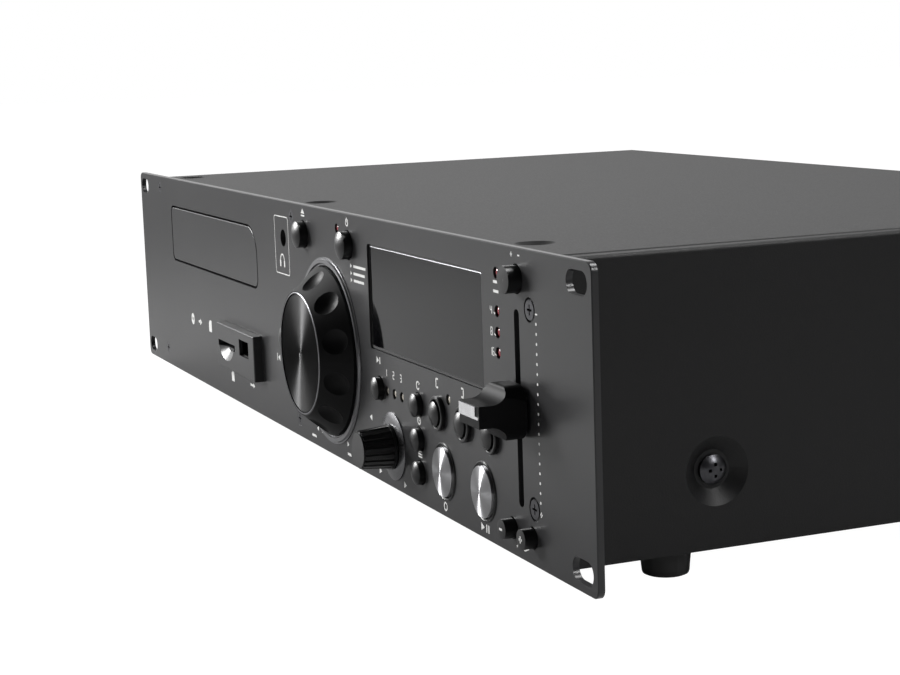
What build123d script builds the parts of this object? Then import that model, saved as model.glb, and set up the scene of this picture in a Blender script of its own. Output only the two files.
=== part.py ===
# Rack-mounted disc player: one drawer, a jog wheel, a pitch fader and fifteen keys
# Frame: X to the right, Y to the rear, Z up, in millimetres.
# The origin is the centre of the four rack slots, on the rear face of the front panel.
from build123d import *
import os
from math import atan, cos, hypot, pi, radians, sin, tan

# Front panel, a 19 inch panel of two rack units
panel_width = 482.6
panel_height = 88.1
panel_thickness = 2.0
panel_corner = 3.0
panel_edge_break = 0.3
slot_spacing_x = 465.1
slot_spacing_z = 76.2
slot_length = 12.4
slot_height = 6.6

# Case, measured up from the panel's lower edge and back from the panel's rear face
case_width = 426.0
case_depth = 248.0
case_top = 87.0
case_bottom = 0.6
cover_sheet = 1.0
cover_bend = 2.0
cover_gap = 0.3
chassis_sheet = 1.0
sheet_gap = 0.15
rear_inset = 1.0
side_flange_height = 10.0
rear_lip = 12.0
rear_lip_gap = 4.0
rear_flange_gap = 2.0

# Front frame of the chassis: windows (left, right, low, high), top flange and its notches
frame_windows = ((-198.0, -8.0, 9.5, 80.5), (-2.5, 208.5, 3.0, 83.4))
frame_flange = 18.0
frame_notch = 7.0
frame_notch_places = (45.6, 195.0)
frame_key_notch = 12.0
frame_notch_drop = 2.5

# Pressed dimples round the cover's screws
side_dimple_width = 20.0
side_dimple_floor = 11.3
side_dimple_depth = 3.2
side_dimple_height = 23.0
side_dimple_front = 50.0
side_dimple_rear = case_depth - 43.0
top_dimple_width = 12.0
top_dimple_floor = 7.0
top_dimple_depth = 1.0
top_dimple_back = 11.5
top_dimple_places = (18.0 - case_width / 2, -10.0, case_width / 2 - 34.0)
rear_screw_inset = 28.0
rear_screw_places = (rear_screw_inset - case_width / 2, 0.0, case_width / 2 - rear_screw_inset)
rear_flange_height = 13.0

# Screws
pan_screw_head = 8.6
pan_screw_height = 2.4
pan_screw_shank = 4.0
pan_screw_length = 8.0
pan_screw_recess = (2.2, 0.9, 1.5)
flat_screw_head = 5.6
flat_screw_shank = 3.0
flat_screw_length = 4.5
flat_screw_recess = (1.5, 0.6, 1.0)
screw_clearance = 0.1
panel_screw_places = ((-204.0, 82.8), (-204.0, 7.8), (-5.7, 82.8), (-5.7, 7.0))
fader_screw_places = ((203.3, 71.7), (203.3, 16.3))
fader_countersink = 7.0
fader_recess = 0.8

# Feet
foot_top = 15.0
foot_bottom = 13.6
foot_height = 7.6
foot_stem = 5.0
foot_stem_rise = 1.5
foot_edge = 0.9
foot_edge_step = 0.3
foot_inset = 10.0
foot_side = case_width / 2 - foot_inset
foot_front = 38.5
foot_rear = case_depth - 38.0

# Disc drawer
drawer_x = -118.5
drawer_z = 63.25
drawer_width = 132.0
drawer_height = 23.5
drawer_corner = 3.0
drawer_sweep = 11.0
drawer_lower_corner = 4.0
drawer_gap = 0.8
drawer_front_thickness = 2.6
drawer_edge_round = 0.4
drawer_travel = 130.0
disc_back = 66.0
disc_well = 121.0
disc_well_depth = 2.0
small_well = 81.0
small_well_depth = 0.8
tray_side_gap = 1.0
tray_runner = 3.0
tray_runner_width = drawer_width - 2 * tray_side_gap
tray_body_width = tray_runner_width - 2 * tray_runner
tray_thickness = 4.0
tray_under = 57.0
tray_hold = 23.0
tray_end = drawer_travel + tray_hold
tray_wall = 2.5
tray_wall_inset = 2.0
tray_wall_width = tray_body_width - 2 * tray_wall_inset
tray_wall_bottom = 53.0
tray_wall_top = 73.0
tray_window_width = 34.0
tray_window_reach = 44.0
runner_clearance = 0.3

# Loading rack and gear
loading_module = 1.0
loading_teeth = 24
rack_height = 4.0
rack_width = 4.0
rack_inset = 16.0
rack_offset = rack_inset - tray_body_width / 2
rack_front = 6.0
loading_gear_back = 18.0
gear_backlash = 0.25
shaft_clearance = 0.05

# Loader frame
loader_wall = 3.0
loader_floor_z = 40.0
loader_floor = 2.5
loader_front = 4.0
loader_rear = 170.0
loader_wall_top = 66.3
loader_opening_half = 43.0
loader_opening_front = 32.0
loader_opening_rear = 156.0
loader_leg = 8.0
loader_leg_inset = 2.3
loader_leg_places = (40.0, 160.0)
traverse_boss = 6.0
traverse_boss_places = (42.0, 144.0)
ledge_depth = 2.7
ledge_reach = 2.8
lip_depth = 2.0
lip_reach = 1.8
gear_post = 7.0
gear_end_gap = 0.2
drive_shaft_reach = 7.0

# Pickup traverse
traverse_z = 44.0
traverse_sheet = 1.5
traverse_width = 100.0
traverse_front = 34.0
traverse_rear = 152.0
turntable_width = 30.0
turntable_z = 49.0
turntable_disc = 1.5
turntable_hub = 14.8
turntable_hub_height = 2.2
turntable_boss = 6.0
turntable_boss_gap = 0.3
hub_taper = 0.3
hub_nose = 1.0
hub_nose_width = 12.0
motor_shaft = 2.0
motor_bore_depth = 8.5
spindle_shaft_reach = 8.0
spindle_motor_width = 24.0
spindle_motor_height = 10.0
sled_half_width = 20.0
sled_front = 82.5
sled_length = 29.0
sled_bottom = 46.0
sled_height = 4.5
lens_width = 10.0
lens_height = 1.5
lens_back = 8.0
sled_travel = 34.0
rod_width = 3.0
rod_offset = 17.7
rod_z = 48.2
rod_front = 74.0
rod_clearance = 0.08
rod_fit = 0.02
rod_tab_width = 4.0
rod_tab_height = 6.0
sled_window_width = 24.0
sled_window_front = 87.0
sled_window_rear = sled_front + sled_length + sled_travel
sled_module = 0.8
sled_teeth = 20
sled_gear_back = 112.0
sled_rack_gap = 4.0
sled_rack_lift = 0.5
sled_rack_height = 3.0
sled_rack_front_gap = 1.6
sled_boss = 5.0
sled_boss_height = 1.0
sled_boss_gap = 0.2
drive_motor_width = 20.0
drive_motor_height = 11.0

# Disc clamp
bridge_width = 40.0
bridge_sheet = 1.5
clamp_width = 28.0
clamp_neck = 18.0
clamp_flange = 24.0
clamp_gap = 0.3
clamp_hole_gap = 0.5
clamp_lower = 2.5
clamp_upper = 1.2

# Display
window_x = 123.15
window_z = 61.9
window_width = 95.3
window_height = 35.0
window_corner = 1.5
window_gap = 0.2
window_recess = 0.7
window_rim = 2.4
window_rim_thickness = 1.0
display_inset = 2.0
glass_inset_x = 10.0
glass_inset_z = 7.0
glass_depth = 0.8

# Card and USB module
module_left = -104.0
module_right = -50.8
module_bottom = 14.0
module_top = 32.3
module_proud = 3.7
module_corner = 0.6
module_edge_round = 0.5
module_body_inset = 0.5
module_rim = 3.5
module_rim_thickness = 2.0
module_depth = 24.0
card_slot_x = -89.5
card_slot_z = 24.0
card_slot_width = 24.2
card_slot_height = 2.6
card_socket_width = 28.0
card_socket_height = 4.2
card_socket_depth = 26.0
card_socket_wall = 1.0
scoop_width = 21.0
scoop_height = 6.5
scoop_x = -90.5
scoop_depth = 2.2
scoop_floor = 0.45
usb_x = -64.5
usb_z = 25.7
usb_width = 12.9
usb_height = 6.6
usb_shell_wall = 0.4
usb_recess = 1.2
usb_tongue_back = 4.4
usb_tongue_lift = 1.2
usb_tongue_height = 1.9
usb_tongue_gap = 0.4
usb_shell_floor = 1.0
usb_shell_length = 18.0
socket_gap = 0.1

# Headphone socket
phones_x = -16.4
phones_z = 74.0
phones_bore = 6.5
phones_body_width = 14.0
phones_body_height = 11.0
phones_body_depth = 26.0
phones_bore_depth = 24.0

# Jog wheel
jog_x = 32.3
jog_z = 37.75
jog_ring_width = 66.5
jog_ring_hole = 60.8
jog_ring_proud = 0.9
jog_ring_flange = 0.3
jog_ring_seat = 0.7
jog_ring_lip = 1.0
jog_band_outer = 65.4
jog_band_inner = 61.8
jog_wheel_width = 60.0
jog_top_width = 44.1
jog_proud = 11.1
jog_shoulder = 1.5
jog_skirt_back = 5.0
jog_wall = 3.6
jog_rim = 0.9
jog_plate = 1.0
jog_plate_sink = 0.4
jog_plate_gap = 0.1
jog_plate_edge = 0.25
jog_web = 2.0
jog_boss_gap = 3.0
jog_boss = 11.0
jog_spindle = 6.0
bearing_foot = 28.0
bearing_foot_height = 1.5
bearing_boss = 16.0
bearing_boss_height = 2.7
spindle_end_gap = 0.5
jog_dimples = 11
jog_dimple_start = 81.0
jog_dimple_width = 9.5
jog_dimple_depth = 1.6

# Selector knob
selector_x = 93.8
selector_z = 14.3
skirt_width = 22.5
skirt_hole = 14.0
skirt_crown = 1.2
skirt_middle = 0.95
skirt_edge = 0.35
knob_flange = 15.0
knob_flange_height = 0.7
knob_base = 14.2
knob_tip = 12.6
knob_proud = 12.4
knob_cap = 0.5
knob_flutes = 18
knob_flute_depth = 0.5
knob_gap = 1.4
knob_shaft = 6.0
knob_shaft_hole = 8.0
knob_shaft_gap = 2.0
selector_body = 12.0
selector_depth = 6.5

# Pitch fader
fader_x = 194.7
fader_z = 43.1
fader_slot_width = 3.4
fader_slot_length = 55.8
fader_travel = 24.5
cap_front_width = 13.5
cap_front_height = 6.2
cap_base_width = 16.3
cap_base_height = 15.3
cap_base_corner = 5.0
cap_proud = 15.0
cap_lift = 1.2
cap_grip_end = 11.5
cap_shoulder = 6.6
cap_shoulder_round = 1.2
plate_thickness = 0.3
plate_margin = 1.2
plate_height = 2.6
plate_lift = 1.5
line_margin = 0.2
line_height = 0.8
line_lift = -0.2
lever_tip_gap = 6.0
lever_foot = 1.8
lever_thickness = 1.4
lever_height = 5.0
carriage_width = 5.0
carriage_height = 8.0
carriage_depth = 6.0
carriage_gap = 0.2
carriage_end_gap = 0.5
fader_left = 189.5
fader_right = 208.0
fader_low = 13.0
fader_high = 74.0
fader_depth = 11.0

# Keys: name, x, height, cap width, how far it stands out, dome height
key_travel = 1.0
key_gap = 0.35
collar_lip = 0.7
collar_sheet = 1.0
collar_gap = 0.2
stem_width = 3.0
ring_round = 0.3
ring_inner_round = 0.2
keys = (
    ("open_key", 8.4, 77.3, 9.6, 4.3, 1.3),
    ("power_key", 56.5, 77.3, 9.6, 4.3, 1.3),
    ("folder_key", -14.2, 36.0, 9.6, 4.0, 1.3),
    ("source_key", 83.3, 32.0, 7.6, 3.2, 1.1),
    ("time_key", 117.8, 31.9, 7.4, 3.0, 1.1),
    ("repeat_key", 117.8, 20.8, 7.4, 3.0, 1.1),
    ("program_key", 117.8, 10.1, 7.4, 3.0, 1.1),
    ("loop_in_key", 134.9, 32.0, 7.6, 3.0, 1.1),
    ("loop_out_key", 155.0, 32.0, 7.6, 3.0, 1.1),
    ("reloop_key", 175.1, 32.0, 7.6, 3.0, 1.1),
    ("cue_key", 137.8, 14.25, 15.4, 1.6, 0.6),
    ("play_key", 168.2, 14.25, 15.4, 1.6, 0.6),
    ("pitch_key", 195.0, 79.4, 7.8, 4.2, 0.2),
    ("bend_minus_key", 188.3, 7.9, 5.8, 3.9, 0.2),
    ("bend_plus_key", 201.6, 7.9, 5.8, 3.9, 0.2),
)
small_ring_width = 10.9
small_ring_hole = 8.8
small_ring_proud = 1.5
large_ring_width = 18.2
large_ring_hole = 16.8
large_ring_proud = 0.4
small_ring_keys = ("loop_in_key", "loop_out_key", "reloop_key")
large_ring_keys = ("cue_key", "play_key")

# Indicator lamps
led_width = 3.0
led_gap = 0.2
led_recess = 0.3
led_dome = 0.8
led_places = (
    (45.6, 82.2),
    (181.3, 79.8),
    (181.5, 68.9),
    (181.5, 62.8),
    (181.5, 57.0),
    (142.7, 37.5),
    (89.7, 32.0),
    (96.5, 32.0),
    (103.2, 32.0),
)

# Control board and its switches
board_back = 9.0
board_sheet = 1.6
board_left = -6.0
board_right = 207.5
board_low = 3.0
board_high = 83.0
board_tab_left = -22.0
board_tab_low = 12.0
board_tab_high = 58.0
board_notch_width = 6.0
board_notch_height = 3.2
standoff_width = 5.0
standoff_places = ((-17.0, 16.0), (24.0, 79.0), (68.0, 58.0), (72.0, 8.0), (183.0, 22.0), (179.5, 47.0))
switch_width = 6.0
switch_body = 3.5
plunger_width = 3.4
plunger_clearance = 0.15
plunger_height = 1.5

# Boards and power parts on the chassis floor
floor_board_height = 8.0
board_post = 6.0
transformer_core = (50.0, 26.0, 42.0)
transformer_coil = (34.0, 40.0, 28.0)
coil_corner = 4.0
transformer_side_gap = 23.0
transformer_rear_gap = 36.0
transformer_x = case_width / 2 - transformer_side_gap - transformer_core[0] / 2
transformer_back = case_depth - transformer_rear_gap - transformer_coil[1] / 2
board_side_gap = 15.0
board_rear_gap = 48.0
board_front = 60.0
power_board_width = 66.0
power_board_gap = 22.0
main_board_left = 20.0
main_board_width = 100.0
power_board_right = case_width / 2 - board_side_gap
power_board_rear = transformer_back - transformer_coil[1] / 2 - power_board_gap
main_board = (main_board_left, main_board_left + main_board_width, board_front, case_depth - board_rear_gap)
power_board = (power_board_right - power_board_width, power_board_right, board_front, power_board_rear)

# Rear sockets
inlet_x = case_width / 2 - 48.0
inlet_z = 44.0
inlet_flange_width = 48.0
inlet_flange_height = 24.0
inlet_body_width = 28.0
inlet_body_height = 20.0
inlet_mouth_width = 24.6
inlet_mouth_height = 17.0
inlet_depth = 18.0
inlet_well = 15.5
inlet_blade = (1.6, 4.0)
inlet_blade_length = 10.5
inlet_blade_places = ((-7.0, -2.0), (7.0, -2.0), (0, 2.0))
inlet_flange = 2.5
inlet_corner = 2.0
inlet_mouth_corner = 4.0
output_places = (-60.0, -42.0, -14.0)
output_z = 44.0
output_block_width = 15.0
output_block_depth = 10.0
output_shell = 8.3
output_shell_length = 9.0
output_shell_hole = 6.6
output_core = 5.0
output_pin_hole = 3.2
output_hole = 9.4


def face_plane(depth=0.0):
    """Plane of the front panel: x to the right, y up from the lower edge, z towards the user."""
    origin = (0, depth - panel_thickness, -panel_height / 2)
    return Plane(origin=origin, x_dir=(1, 0, 0), z_dir=(0, -1, 0))


def level(height):
    """Horizontal plane at a height above the panel's lower edge."""
    return Plane.XY.offset(height - panel_height / 2)


def face_place(x, height, depth=0.0):
    """Place on the front panel, with its Z towards the user."""
    return face_plane(depth).location * Location((x, height, 0))


def side_place(side, x, back, height):
    """Place on a side wall at a distance x from the middle, with its Z outwards."""
    origin = (side * x, back, height - panel_height / 2)
    return Plane(origin=origin, x_dir=(0, side, 0), z_dir=(side, 0, 0)).location


def rear_place(x, height, back):
    """Place on a rear wall, with its Z towards the back."""
    origin = (x, back, height - panel_height / 2)
    return Plane(origin=origin, x_dir=(-1, 0, 0), z_dir=(0, 1, 0)).location


def turning_plane(x, height):
    """Plane through a control's axis: x is the radius, y the depth behind the panel's front."""
    origin = (x, -panel_thickness, height - panel_height / 2)
    return Plane(origin=origin, x_dir=(1, 0, 0), z_dir=(0, 0, 1))


def turning_axis(x, height):
    """Axis of a control that points straight out of the panel."""
    return Axis((x, 0, height - panel_height / 2), (0, 1, 0))


def upright(x, back, *points):
    """Solid of revolution about a vertical axis, from (radius, height) points."""
    origin = (x, back, -panel_height / 2)
    with BuildPart() as body:
        with BuildSketch(Plane(origin=origin, x_dir=(1, 0, 0), z_dir=(0, -1, 0))):
            with BuildLine():
                Polyline(*points, close=True)
            make_face()
        revolve(axis=Axis(origin, (0, 0, 1)))
    return body.part


def turned(x, height, *points):
    """Solid of revolution about a control's axis, from (radius, depth) points."""
    with BuildPart() as body:
        with BuildSketch(turning_plane(x, height)):
            with BuildLine():
                Polyline(*points, close=True)
            make_face()
        revolve(axis=turning_axis(x, height))
    return body.part


def drawer_outline(grow=0.0):
    """The drawer's oblong outline, with its upper right corner swept round."""
    with BuildSketch() as outline:
        with Locations((drawer_x, drawer_z)):
            Rectangle(drawer_width + 2 * grow, drawer_height + 2 * grow)
        fillet(outline.vertices().group_by(Axis.X)[0], drawer_corner + grow)
        upper_right = outline.vertices().group_by(Axis.X)[-1].sort_by(Axis.Y)[-1]
        fillet(upper_right, drawer_sweep + grow)
        lower_right = outline.vertices().group_by(Axis.Y)[0].sort_by(Axis.X)[-1]
        fillet(lower_right, drawer_lower_corner + grow)
    return outline.sketch


def module_outline(grow=0.0):
    """Outline of the card and USB module where it passes the panel."""
    with BuildSketch() as outline:
        with Locations(((module_left + module_right) / 2, (module_bottom + module_top) / 2)):
            width = module_right - module_left + 2 * grow
            RectangleRounded(width, module_top - module_bottom + 2 * grow, module_corner + grow)
    return outline.sketch


def cover_outline(inset=0.0):
    """The cover's upside-down U, from its outer surface or from the given depth inside it."""
    drop = 10.0 if inset else 0.0
    with BuildSketch() as outline:
        with Locations((0, (case_top - inset + case_bottom - drop) / 2)):
            Rectangle(case_width - 2 * inset, case_top - inset - case_bottom + drop)
        fillet(outline.vertices().group_by(Axis.Y)[-1], cover_bend - inset)
    return outline.sketch


def dimple(width, floor, depth, hole_top, hole_bottom):
    """Pressed dimple in the cover's sheet, open side up, centred on its screw hole."""
    slope = atan(depth / ((width - floor) / 2))
    shift = cover_sheet * tan(slope / 2)
    rim = width / 2 + 2 * shift
    with BuildPart() as pressing:
        with BuildSketch(Plane.XZ):
            with BuildLine():
                Polyline(
                    (rim, 0),
                    (width / 2, 0),
                    (floor / 2, -depth),
                    (hole_top, -depth),
                    (hole_bottom, -depth - cover_sheet),
                    (floor / 2 + shift, -depth - cover_sheet),
                    (width / 2 + shift, -cover_sheet),
                    (rim, -cover_sheet),
                    close=True,
                )
            make_face()
        revolve(axis=Axis.Z)
    return pressing.part


def dimple_rim(width, floor, depth):
    """Radius of the round patch of sheet that a dimple replaces."""
    slope = atan(depth / ((width - floor) / 2))
    return width / 2 + 2 * cover_sheet * tan(slope / 2)


def cross_recess(arm, groove, depth):
    """Cross-shaped driver recess, cut down from the current plane."""
    with BuildPart() as recess:
        with BuildSketch():
            Rectangle(2 * arm, groove)
            Rectangle(groove, 2 * arm)
        extrude(amount=-depth, taper=12)
    return recess.part


def gear_outline(teeth, module, first_angle):
    """Outline of a spur gear whose first tooth points at first_angle, in degrees."""
    pitch_radius = teeth * module / 2
    with BuildSketch() as outline:
        Circle(pitch_radius - 1.2 * module)
        with PolarLocations(pitch_radius, teeth, start_angle=first_angle):
            add(gear_tooth(module))
    return outline.sketch


def gear_tooth(module):
    """Straight-sided tooth with its pitch line at x = 0 and its tip towards +X."""
    half = (pi * module / 2 - gear_backlash * module) / 2
    tip = half - 0.9 * module * tan(radians(20))
    root = half + 1.2 * module * tan(radians(20))
    with BuildSketch() as tooth:
        with BuildLine():
            Polyline(
                (0.9 * module, -tip),
                (0.9 * module, tip),
                (-1.2 * module, root),
                (-1.6 * module, root),
                (-1.6 * module, -root),
                (-1.2 * module, -root),
                close=True,
            )
        make_face()
    return tooth.sketch


def rack_places(x, centre, first, last, module):
    """Places of a rack's teeth between two distances, one of them in line with the gear."""
    pitch = pi * module
    start = -int((centre - first) / pitch - 0.5)
    end = int((last - centre) / pitch - 0.5)
    return [(x, centre + step * pitch) for step in range(start, end + 1)]


def key_hole(cap_width):
    """Width of the hole that a key's cap runs in."""
    return cap_width + 2 * key_gap


# Front panel with its studs for the control board
with BuildPart() as front_panel:
    with BuildSketch(face_plane()):
        with Locations((0, panel_height / 2)):
            RectangleRounded(panel_width, panel_height, panel_corner)
            with GridLocations(slot_spacing_x, slot_spacing_z, 2, 2):
                SlotOverall(slot_length, slot_height, mode=Mode.SUBTRACT)
        add(drawer_outline(drawer_gap), mode=Mode.SUBTRACT)
        add(module_outline(socket_gap), mode=Mode.SUBTRACT)
        with Locations((window_x, window_z)):
            RectangleRounded(window_width, window_height, window_corner, mode=Mode.SUBTRACT)
        with Locations((fader_x, fader_z)):
            SlotOverall(fader_slot_length, fader_slot_width, rotation=90, mode=Mode.SUBTRACT)
        with Locations((phones_x, phones_z)):
            Circle(phones_bore / 2, mode=Mode.SUBTRACT)
        with Locations((jog_x, jog_z)):
            Circle(jog_band_outer / 2 - jog_ring_seat + shaft_clearance, mode=Mode.SUBTRACT)
        with Locations((selector_x, selector_z)):
            Circle(knob_shaft_hole / 2, mode=Mode.SUBTRACT)
        with Locations(*led_places):
            Circle(led_width / 2 + led_gap, mode=Mode.SUBTRACT)
        for name, x, height, cap_width, proud, dome in keys:
            with Locations((x, height)):
                Circle(key_hole(cap_width) / 2, mode=Mode.SUBTRACT)
    extrude(amount=-panel_thickness)
    rim = front_panel.faces().sort_by(Axis.Y)[0].outer_wire().edges()
    chamfer(rim, panel_edge_break)
    with Locations(*(face_place(*spot) for spot in panel_screw_places + fader_screw_places)):
        CounterSinkHole(
            flat_screw_shank / 2 + screw_clearance,
            flat_screw_head / 2 + screw_clearance,
            depth=panel_thickness,
            counter_sink_angle=90,
        )
    with BuildSketch(face_plane()):
        with Locations(*fader_screw_places):
            Circle(fader_countersink / 2)
    extrude(amount=-fader_recess, mode=Mode.SUBTRACT)
    with BuildSketch(face_plane(panel_thickness)):
        with Locations(*standoff_places):
            Circle(standoff_width / 2)
    extrude(amount=-board_back)


# Screws: a domed pan head and a flat countersunk head, both with a cross recess
with BuildPart() as pan_screw:
    with BuildSketch(Plane.XZ):
        with BuildLine():
            Line((0, -pan_screw_length), (0, pan_screw_height))
            ThreePointArc(
                (0, pan_screw_height),
                (pan_screw_head * 0.3, pan_screw_height * 0.86),
                (pan_screw_head / 2, pan_screw_height * 0.4),
            )
            Polyline(
                (pan_screw_head / 2, pan_screw_height * 0.4),
                (pan_screw_head / 2, 0),
                (pan_screw_shank / 2, 0),
                (pan_screw_shank / 2, -pan_screw_length),
                (0, -pan_screw_length),
            )
        make_face()
    revolve(axis=Axis.Z)
    with Locations((0, 0, pan_screw_height)):
        add(cross_recess(*pan_screw_recess), mode=Mode.SUBTRACT)

with BuildPart() as flat_screw:
    with BuildSketch(Plane.XZ):
        with BuildLine():
            Polyline(
                (0, 0),
                (flat_screw_head / 2, 0),
                (flat_screw_shank / 2, -(flat_screw_head - flat_screw_shank) / 2),
                (flat_screw_shank / 2, -flat_screw_length),
                (0, -flat_screw_length),
                close=True,
            )
        make_face()
    revolve(axis=Axis.Z)
    add(cross_recess(*flat_screw_recess), mode=Mode.SUBTRACT)

# Chassis: floor, side flanges, screw tabs, front frame with a turned-back top, rear flange
chassis_half = case_width / 2 - cover_sheet - sheet_gap
chassis_end = case_depth - rear_inset
floor_top = case_bottom + chassis_sheet
frame_top = case_top - cover_sheet - top_dimple_depth
tab_face = case_width / 2 - side_dimple_depth - cover_sheet
side_screw_spots = [(side, back) for side in (-1, 1) for back in (side_dimple_front, side_dimple_rear)]
foot_spots = [(side * foot_side, back) for side in (-1, 1) for back in (foot_front, foot_rear)]

with BuildPart() as chassis_pan:
    with BuildSketch(level(case_bottom)):
        with Locations((0, chassis_end / 2)):
            Rectangle(2 * chassis_half, chassis_end)
        with Locations(*foot_spots):
            Circle(foot_stem / 2 + shaft_clearance, mode=Mode.SUBTRACT)
    extrude(amount=chassis_sheet)
    with BuildSketch(level(floor_top)):
        with Locations((0, (chassis_end - 2 * chassis_sheet) / 2)):
            Rectangle(2 * chassis_half, chassis_end - 2 * chassis_sheet)
            Rectangle(2 * chassis_half - 2 * chassis_sheet, chassis_end, mode=Mode.SUBTRACT)
    extrude(amount=side_flange_height)
    for side, back in side_screw_spots:
        place = side_place(side, tab_face, back, floor_top)
        tab_height = side_dimple_height + side_dimple_floor - floor_top
        with BuildSketch(Plane(place)):
            with Locations((0, tab_height / 2)):
                Rectangle(2 * side_dimple_floor, tab_height)
            with Locations((0, side_dimple_height - floor_top)):
                Circle(pan_screw_shank / 2 + screw_clearance, mode=Mode.SUBTRACT)
        extrude(amount=-chassis_sheet)
    with BuildSketch(face_plane(panel_thickness)):
        with Locations((0, (case_bottom + frame_top) / 2)):
            Rectangle(2 * chassis_half, frame_top - case_bottom)
        for left, right, low, high in frame_windows:
            with Locations(((left + right) / 2, (low + high) / 2)):
                Rectangle(right - left, high - low, mode=Mode.SUBTRACT)
        with Locations(*panel_screw_places):
            Circle(flat_screw_shank / 2 + screw_clearance, mode=Mode.SUBTRACT)
    extrude(amount=-chassis_sheet)
    with BuildSketch(level(frame_top)):
        with Locations((0, frame_flange / 2)):
            Rectangle(2 * chassis_half, frame_flange)
        with Locations(*((x, frame_notch / 2) for x, height in panel_screw_places[::2])):
            Rectangle(frame_notch, frame_notch, mode=Mode.SUBTRACT)
        with Locations(*((x, top_dimple_back) for x in top_dimple_places)):
            Circle(flat_screw_shank / 2 + 4 * screw_clearance, mode=Mode.SUBTRACT)
    extrude(amount=-chassis_sheet)
    with BuildSketch(level(frame_top)):
        with Locations(*((x, 0) for x in frame_notch_places)):
            Rectangle(frame_key_notch, 2 * frame_notch)
    extrude(amount=-frame_notch_drop, mode=Mode.SUBTRACT)
    with BuildSketch(face_plane(chassis_end + panel_thickness - 2 * chassis_sheet)):
        with Locations((0, floor_top + rear_flange_height / 2)):
            Rectangle(2 * (chassis_half - rear_flange_gap), rear_flange_height)
        with Locations(*((x, floor_top + rear_flange_height / 2) for x in rear_screw_places)):
            Circle(pan_screw_shank / 2 + screw_clearance, mode=Mode.SUBTRACT)
    extrude(amount=-chassis_sheet)
    post_spots = []
    for left, right, front, rear in (main_board, power_board):
        for x in (left + board_post, right - board_post):
            for back in (front + board_post, rear - board_post):
                post_spots.append((x, back))
    with BuildSketch(level(floor_top)):
        with Locations(*post_spots):
            Circle(board_post / 2)
    extrude(amount=floor_board_height - floor_top)

# Cover: one folded sheet with a dimple at each screw
with BuildPart() as top_cover:
    with BuildSketch(face_plane(panel_thickness + cover_gap)):
        add(cover_outline())
        add(cover_outline(cover_sheet), mode=Mode.SUBTRACT)
    extrude(amount=-(case_depth - cover_gap))
    side_patch = dimple_rim(side_dimple_width, side_dimple_floor, side_dimple_depth)
    top_patch = dimple_rim(top_dimple_width, top_dimple_floor, top_dimple_depth)
    side_hole = pan_screw_shank / 2 + screw_clearance
    top_hole = flat_screw_head / 2 + screw_clearance
    side_dimple = dimple(side_dimple_width, side_dimple_floor, side_dimple_depth, side_hole, side_hole)
    top_dimple = dimple(
        top_dimple_width, top_dimple_floor, top_dimple_depth, top_hole, top_hole - cover_sheet
    )
    side_spots = [side_place(s, case_width / 2, back, side_dimple_height) for s, back in side_screw_spots]
    top_spots = [
        level(case_top).location * Location((x, top_dimple_back, 0)) for x in top_dimple_places
    ]
    with Locations(*side_spots):
        Cylinder(side_patch, 2.5 * cover_sheet, mode=Mode.SUBTRACT)
        add(side_dimple)
    with Locations(*top_spots):
        Cylinder(top_patch, 2.5 * cover_sheet, mode=Mode.SUBTRACT)
        add(top_dimple)

with BuildPart() as cover_screws:
    with Locations(
        *(side_place(s, case_width / 2 - side_dimple_depth, back, side_dimple_height)
          for s, back in side_screw_spots),
        *(rear_place(x, floor_top + rear_flange_height / 2, chassis_end) for x in rear_screw_places),
    ):
        add(pan_screw.part)

with BuildPart() as panel_screws:
    with Locations(
        *(face_place(*spot) for spot in panel_screw_places + fader_screw_places),
        *(level(case_top - top_dimple_depth).location * Location((x, top_dimple_back, 0))
          for x in top_dimple_places),
    ):
        add(flat_screw.part)

# Rear panel with its top lip
with BuildPart() as rear_panel:
    with BuildSketch(face_plane(chassis_end + panel_thickness)):
        panel_rise = case_top - cover_sheet - sheet_gap - floor_top
        with Locations((0, floor_top + panel_rise / 2)):
            panel_blank = Rectangle(2 * chassis_half, panel_rise)
            fillet(panel_blank.vertices().group_by(Axis.Y)[-1], cover_bend)
        with Locations((inlet_x, inlet_z)):
            Rectangle(
                inlet_body_width + 2 * socket_gap, inlet_body_height + 2 * socket_gap, mode=Mode.SUBTRACT
            )
        with Locations(*((x, output_z) for x in output_places)):
            Circle(output_hole / 2, mode=Mode.SUBTRACT)
        with Locations(*((x, floor_top + rear_flange_height / 2) for x in rear_screw_places)):
            Circle(pan_screw_shank / 2 + screw_clearance, mode=Mode.SUBTRACT)
    extrude(amount=chassis_sheet)
    with BuildSketch(level(floor_top + panel_rise)):
        with Locations((0, chassis_end - rear_lip / 2)):
            Rectangle(2 * (chassis_half - rear_lip_gap), rear_lip)
    extrude(amount=-chassis_sheet)

# Rubber feet, pushed into the floor
foot_lower = case_bottom - foot_height
with BuildPart() as feet:
    for x, back in foot_spots:
        add(
            upright(
                x, back,
                (0, foot_lower),
                (foot_bottom / 2 - foot_edge, foot_lower),
                (foot_bottom / 2 - foot_edge / 4, foot_lower + foot_edge_step),
                (foot_bottom / 2, foot_lower + foot_edge),
                (foot_top / 2, case_bottom),
                (foot_stem / 2, case_bottom),
                (foot_stem / 2, floor_top + foot_stem_rise),
                (0, floor_top + foot_stem_rise),
            )
        )

# Display window and the module behind it
with BuildPart() as display_window:
    with BuildSketch(face_plane(window_recess)):
        with Locations((window_x, window_z)):
            RectangleRounded(
                window_width - 2 * window_gap, window_height - 2 * window_gap, window_corner - window_gap
            )
    extrude(amount=-(panel_thickness - window_recess))
    with BuildSketch(face_plane(panel_thickness)):
        with Locations((window_x, window_z)):
            RectangleRounded(window_width + 2 * window_rim, window_height + 2 * window_rim, window_corner)
    extrude(amount=-window_rim_thickness)

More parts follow.
